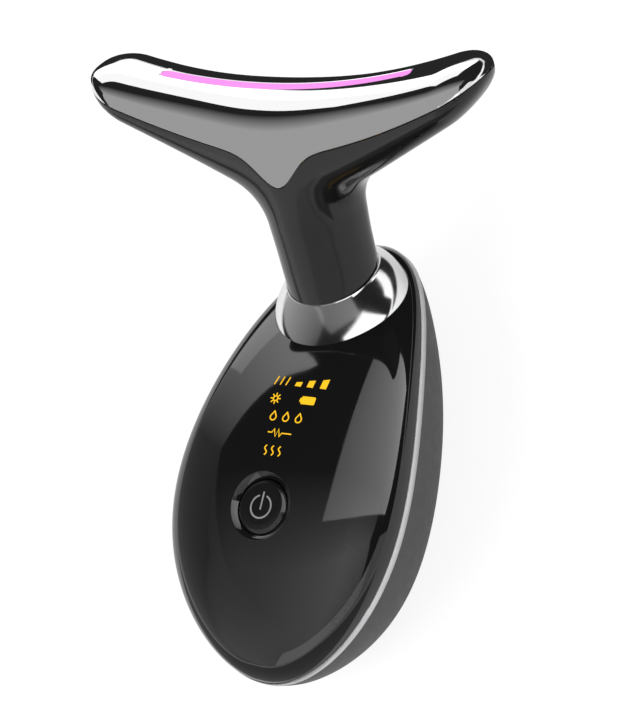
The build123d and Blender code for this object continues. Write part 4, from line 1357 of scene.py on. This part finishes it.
def light_cards():
    """The cards that shape the reflections in each piece."""
    front = ("front_cover", "button_ring", "button_cap")
    high, fold, low = (0.20, 1.05), (-0.32, 1.05), (-1.45, -0.02)
    card("front_right", [(-0.08, 0.60, 0.55), (-0.16, -0.04, 0.80), (0.75, 0.01, 0.32), (0.60, 0.55, 0.12)],
         (1.35, 1.2, 3.0, 4.4), *front)
    card("front_left", towards((166, 37), (131, 38), (134, -8), (166, -8)), (0.2, 2.5, 1.5, 0.2), *front)
    card("front_rim", towards((166, 37), (225, 45), (225, -8), (166, -8)), (0.2, 0.0, 0.8, 0.2), *front)
    card("front_turn", towards((225, 45), (262, 45), (262, -8), (225, -8)), (0.0, 0.0, 0.0, 0.8), *front)
    card("front_fade", strip(-1.3, 0.3, high, fold), (0.0, 0.0, 1.15, 0.0), *front)
    card("front_low", strip(-1.3, 0.3, fold, low), (0.0, 1.15, 0.70, 0.10), *front)
    card("side_fade", strip(0.3, 1.8, high, fold), (0.0, 0.0, 0.50, 1.15), *front)
    card("side_low", strip(0.3, 1.8, fold, low), (1.15, 0.50, 0.40, 0.70), *front)
    plate = "chrome_plate"
    high, fold, low = (0.28, 1.0), (-0.45, 1.0), (-1.1, 0.0)
    card("plate_white", towards((96, -10), (100, 44), (150, 44), (150, -10)), (1.0,) * 4, plate)
    card("plate_fade", strip(-2.5, 0.9, high, fold), (0.0, 0.0, 0.325, 0.325), plate)
    card("plate_grey", strip(-2.5, 0.9, fold, low), (0.325,) * 4, plate)
    neck_places = towards((-150, -4), (-150, 24), (-99.5, 20), (-105.5, -4))
    card("neck_white", neck_places, (1.0,) * 4, "neck_and_core")
    ring = "collar_ring"
    card("collar_right", towards((-68, 4), (-62, 50), (6, 48), (8, 4)), (1.0, 1.3, 1.3, 1.1), ring)
    card("collar_left", towards((-200, -5), (-200, 45), (-120, 70), (-120, 20)),
         (0.42, 0.22, 0.10, 0.02), ring)
    card("collar_top", towards((-195, 44), (-90, 60), (0, 50), (80, 62)), (0.16, 0.11, 0.22, 0.08), ring)
    card("collar_glint", towards((30, -3), (34, 13), (62, 10), (62, -3)), (1.2, 1.2, 1.0, 1.0), ring)
    side_places = towards((-60, -3), (-60, 60), (95, 60), (95, -3))
    card("side_white", side_places, (0.8,) * 4, "silver_band", "back_cover")
    dark_floor("floor_behind", (-0.60, 0.095), (0.25, 0.60), 0.02)
    dark_floor("floor_before", (-0.25, -0.35), (0.12, -0.05), 0.28)


def floor_material():
    """Pale floor that reads as white to the camera and keeps the soft shadow."""
    material = bpy.data.materials.new("studio_floor")
    net = Network(material)
    seen = net.node("LightPath").outputs["Is Camera Ray"]
    plain = net.add("BsdfDiffuse", Color=(*colours().floor, 1))
    pale = net.add("BsdfDiffuse", Color=(*FLOOR_GREY, 1))
    white = net.add("AddShader", pale, net.add("Emission", Strength=FLOOR_GLOW))
    net.node("OutputMaterial", net.add("MixShader", seen, plain, white))
    return material


def studio_world(fill, reflected=0.8):
    """White to the camera, a little less in reflections, and a plain soft fill on the object."""
    world = bpy.data.worlds.new("studio")
    net = Network(world)

    def math_node(operation, *sources):
        step = net.node("Math", *sources)
        step.operation = operation
        return step

    rays = net.node("LightPath").outputs
    seen = rays["Is Camera Ray"]
    level = math_node("MULTIPLY_ADD", seen)
    level.inputs[1].default_value = 1 - reflected
    level.inputs[2].default_value = reflected
    white = net.add("Background", Color=(1, 1, 1, 1))
    net.tree.links.new(level.outputs[0], white.node.inputs["Strength"])
    for kind in ("Is Glossy Ray", "Is Transmission Ray"):
        seen = math_node("MAXIMUM", seen, rays[kind]).outputs[0]
    soft = net.add("Background", Strength=fill)
    net.node("OutputWorld", net.add("MixShader", seen, soft, white))
    bpy.context.scene.world = world


def area_lamp(name, place, target, size_m, power):
    """A soft lamp that lights the object and isn't seen in it."""
    data = bpy.data.lights.new(name, "AREA")
    data.shape, data.size, data.size_y, data.energy = "RECTANGLE", size_m, size_m, power
    lamp = add_object(name, data)
    lamp.location = place
    lamp.rotation_euler = (Vector(target) - Vector(place)).to_track_quat("-Z", "Y").to_euler()
    lamp.visible_glossy = False


CAMERA_PLACE = (0.20441, -0.060277, 0.328401)
CAMERA_ANGLES = (21.1538, 30.3569, 15.5303)
CAMERA_LENS = 103.542
SENSOR_WIDTH = 36.0


class TONER_OT_stage(bpy.types.Operator):
    """Builds the floor, the studio light and the camera"""

    bl_idname = "toner.stage"
    bl_label = "Stage and Camera"

    def execute(self, context):
        scene = context.scene
        corners = [(x * FLOOR_HALF, y * FLOOR_HALF, 0) for x, y in ((-1, -1), (1, -1), (1, 1), (-1, 1))]
        data = bpy.data.meshes.new("floor")
        data.from_pydata(corners, [], [(0, 1, 2, 3)])
        floor = add_object("floor", data)
        floor.location.z = -FLOOR_DROP
        floor.data.materials.append(floor_material())
        studio_world(SOFT_FILL)
        area_lamp("key", (-0.5, -0.6, 1.1), (0, 0, 0.03), 0.9, 9)
        area_lamp("side", (0.9, 0.5, 0.8), (0, 0.02, 0.03), 0.8, 6)
        black_tent()
        light_cards()
        camera = add_object("camera", bpy.data.cameras.new("camera"))
        camera.location = CAMERA_PLACE
        camera.rotation_euler = [math.radians(angle) for angle in CAMERA_ANGLES]
        camera.data.lens = CAMERA_LENS
        camera.data.sensor_width = SENSOR_WIDTH
        camera.data.clip_start = 0.01
        scene.camera = camera
        scene.view_settings.view_transform = "Standard"
        return {"FINISHED"}


# ================================================================ panel and registration
STEPS = (
    TONER_OT_shells,
    TONER_OT_trim_band,
    TONER_OT_power_button,
    TONER_OT_lit_marks,
    TONER_OT_head,
    TONER_OT_collar,
    TONER_OT_inner_pieces,
    TONER_OT_stage,
)
GROUPS = (TonerHandleSizes, TonerHeadSizes, TonerColours)
SECTIONS = {"toner_handle": "Handle", "toner_head": "Head", "toner_colours": "Colours"}


class TONER_PT_panel(bpy.types.Panel):
    """Sizes, colours and build steps of the device"""

    bl_label = "Facial Toner"
    bl_idname = "TONER_PT_panel"
    bl_space_type = "VIEW_3D"
    bl_region_type = "UI"
    bl_category = "Toner"

    def draw(self, context):
        for group, label in SECTIONS.items():
            box = self.layout.box()
            box.label(text=label)
            settings = getattr(context.scene, group)
            for name in settings.bl_rna.properties.keys():
                if name not in ("rna_type", "name"):
                    box.prop(settings, name)
        for step in STEPS:
            self.layout.operator(step.bl_idname)


def register():
    """Makes the settings, steps and panel known."""
    for entry in GROUPS + STEPS + (TONER_PT_panel,):
        bpy.utils.register_class(entry)
    bpy.types.Scene.toner_handle = PointerProperty(type=TonerHandleSizes)
    bpy.types.Scene.toner_head = PointerProperty(type=TonerHeadSizes)
    bpy.types.Scene.toner_colours = PointerProperty(type=TonerColours)


def unregister():
    """Removes what register added."""
    for name in SECTIONS:
        delattr(bpy.types.Scene, name)
    for entry in reversed(GROUPS + STEPS + (TONER_PT_panel,)):
        bpy.utils.unregister_class(entry)


def main():
    """Builds everything in order."""
    register()
    for step in STEPS:
        group, name = step.bl_idname.split(".")
        getattr(getattr(bpy.ops, group), name)()


if __name__ == "__main__":
    main()
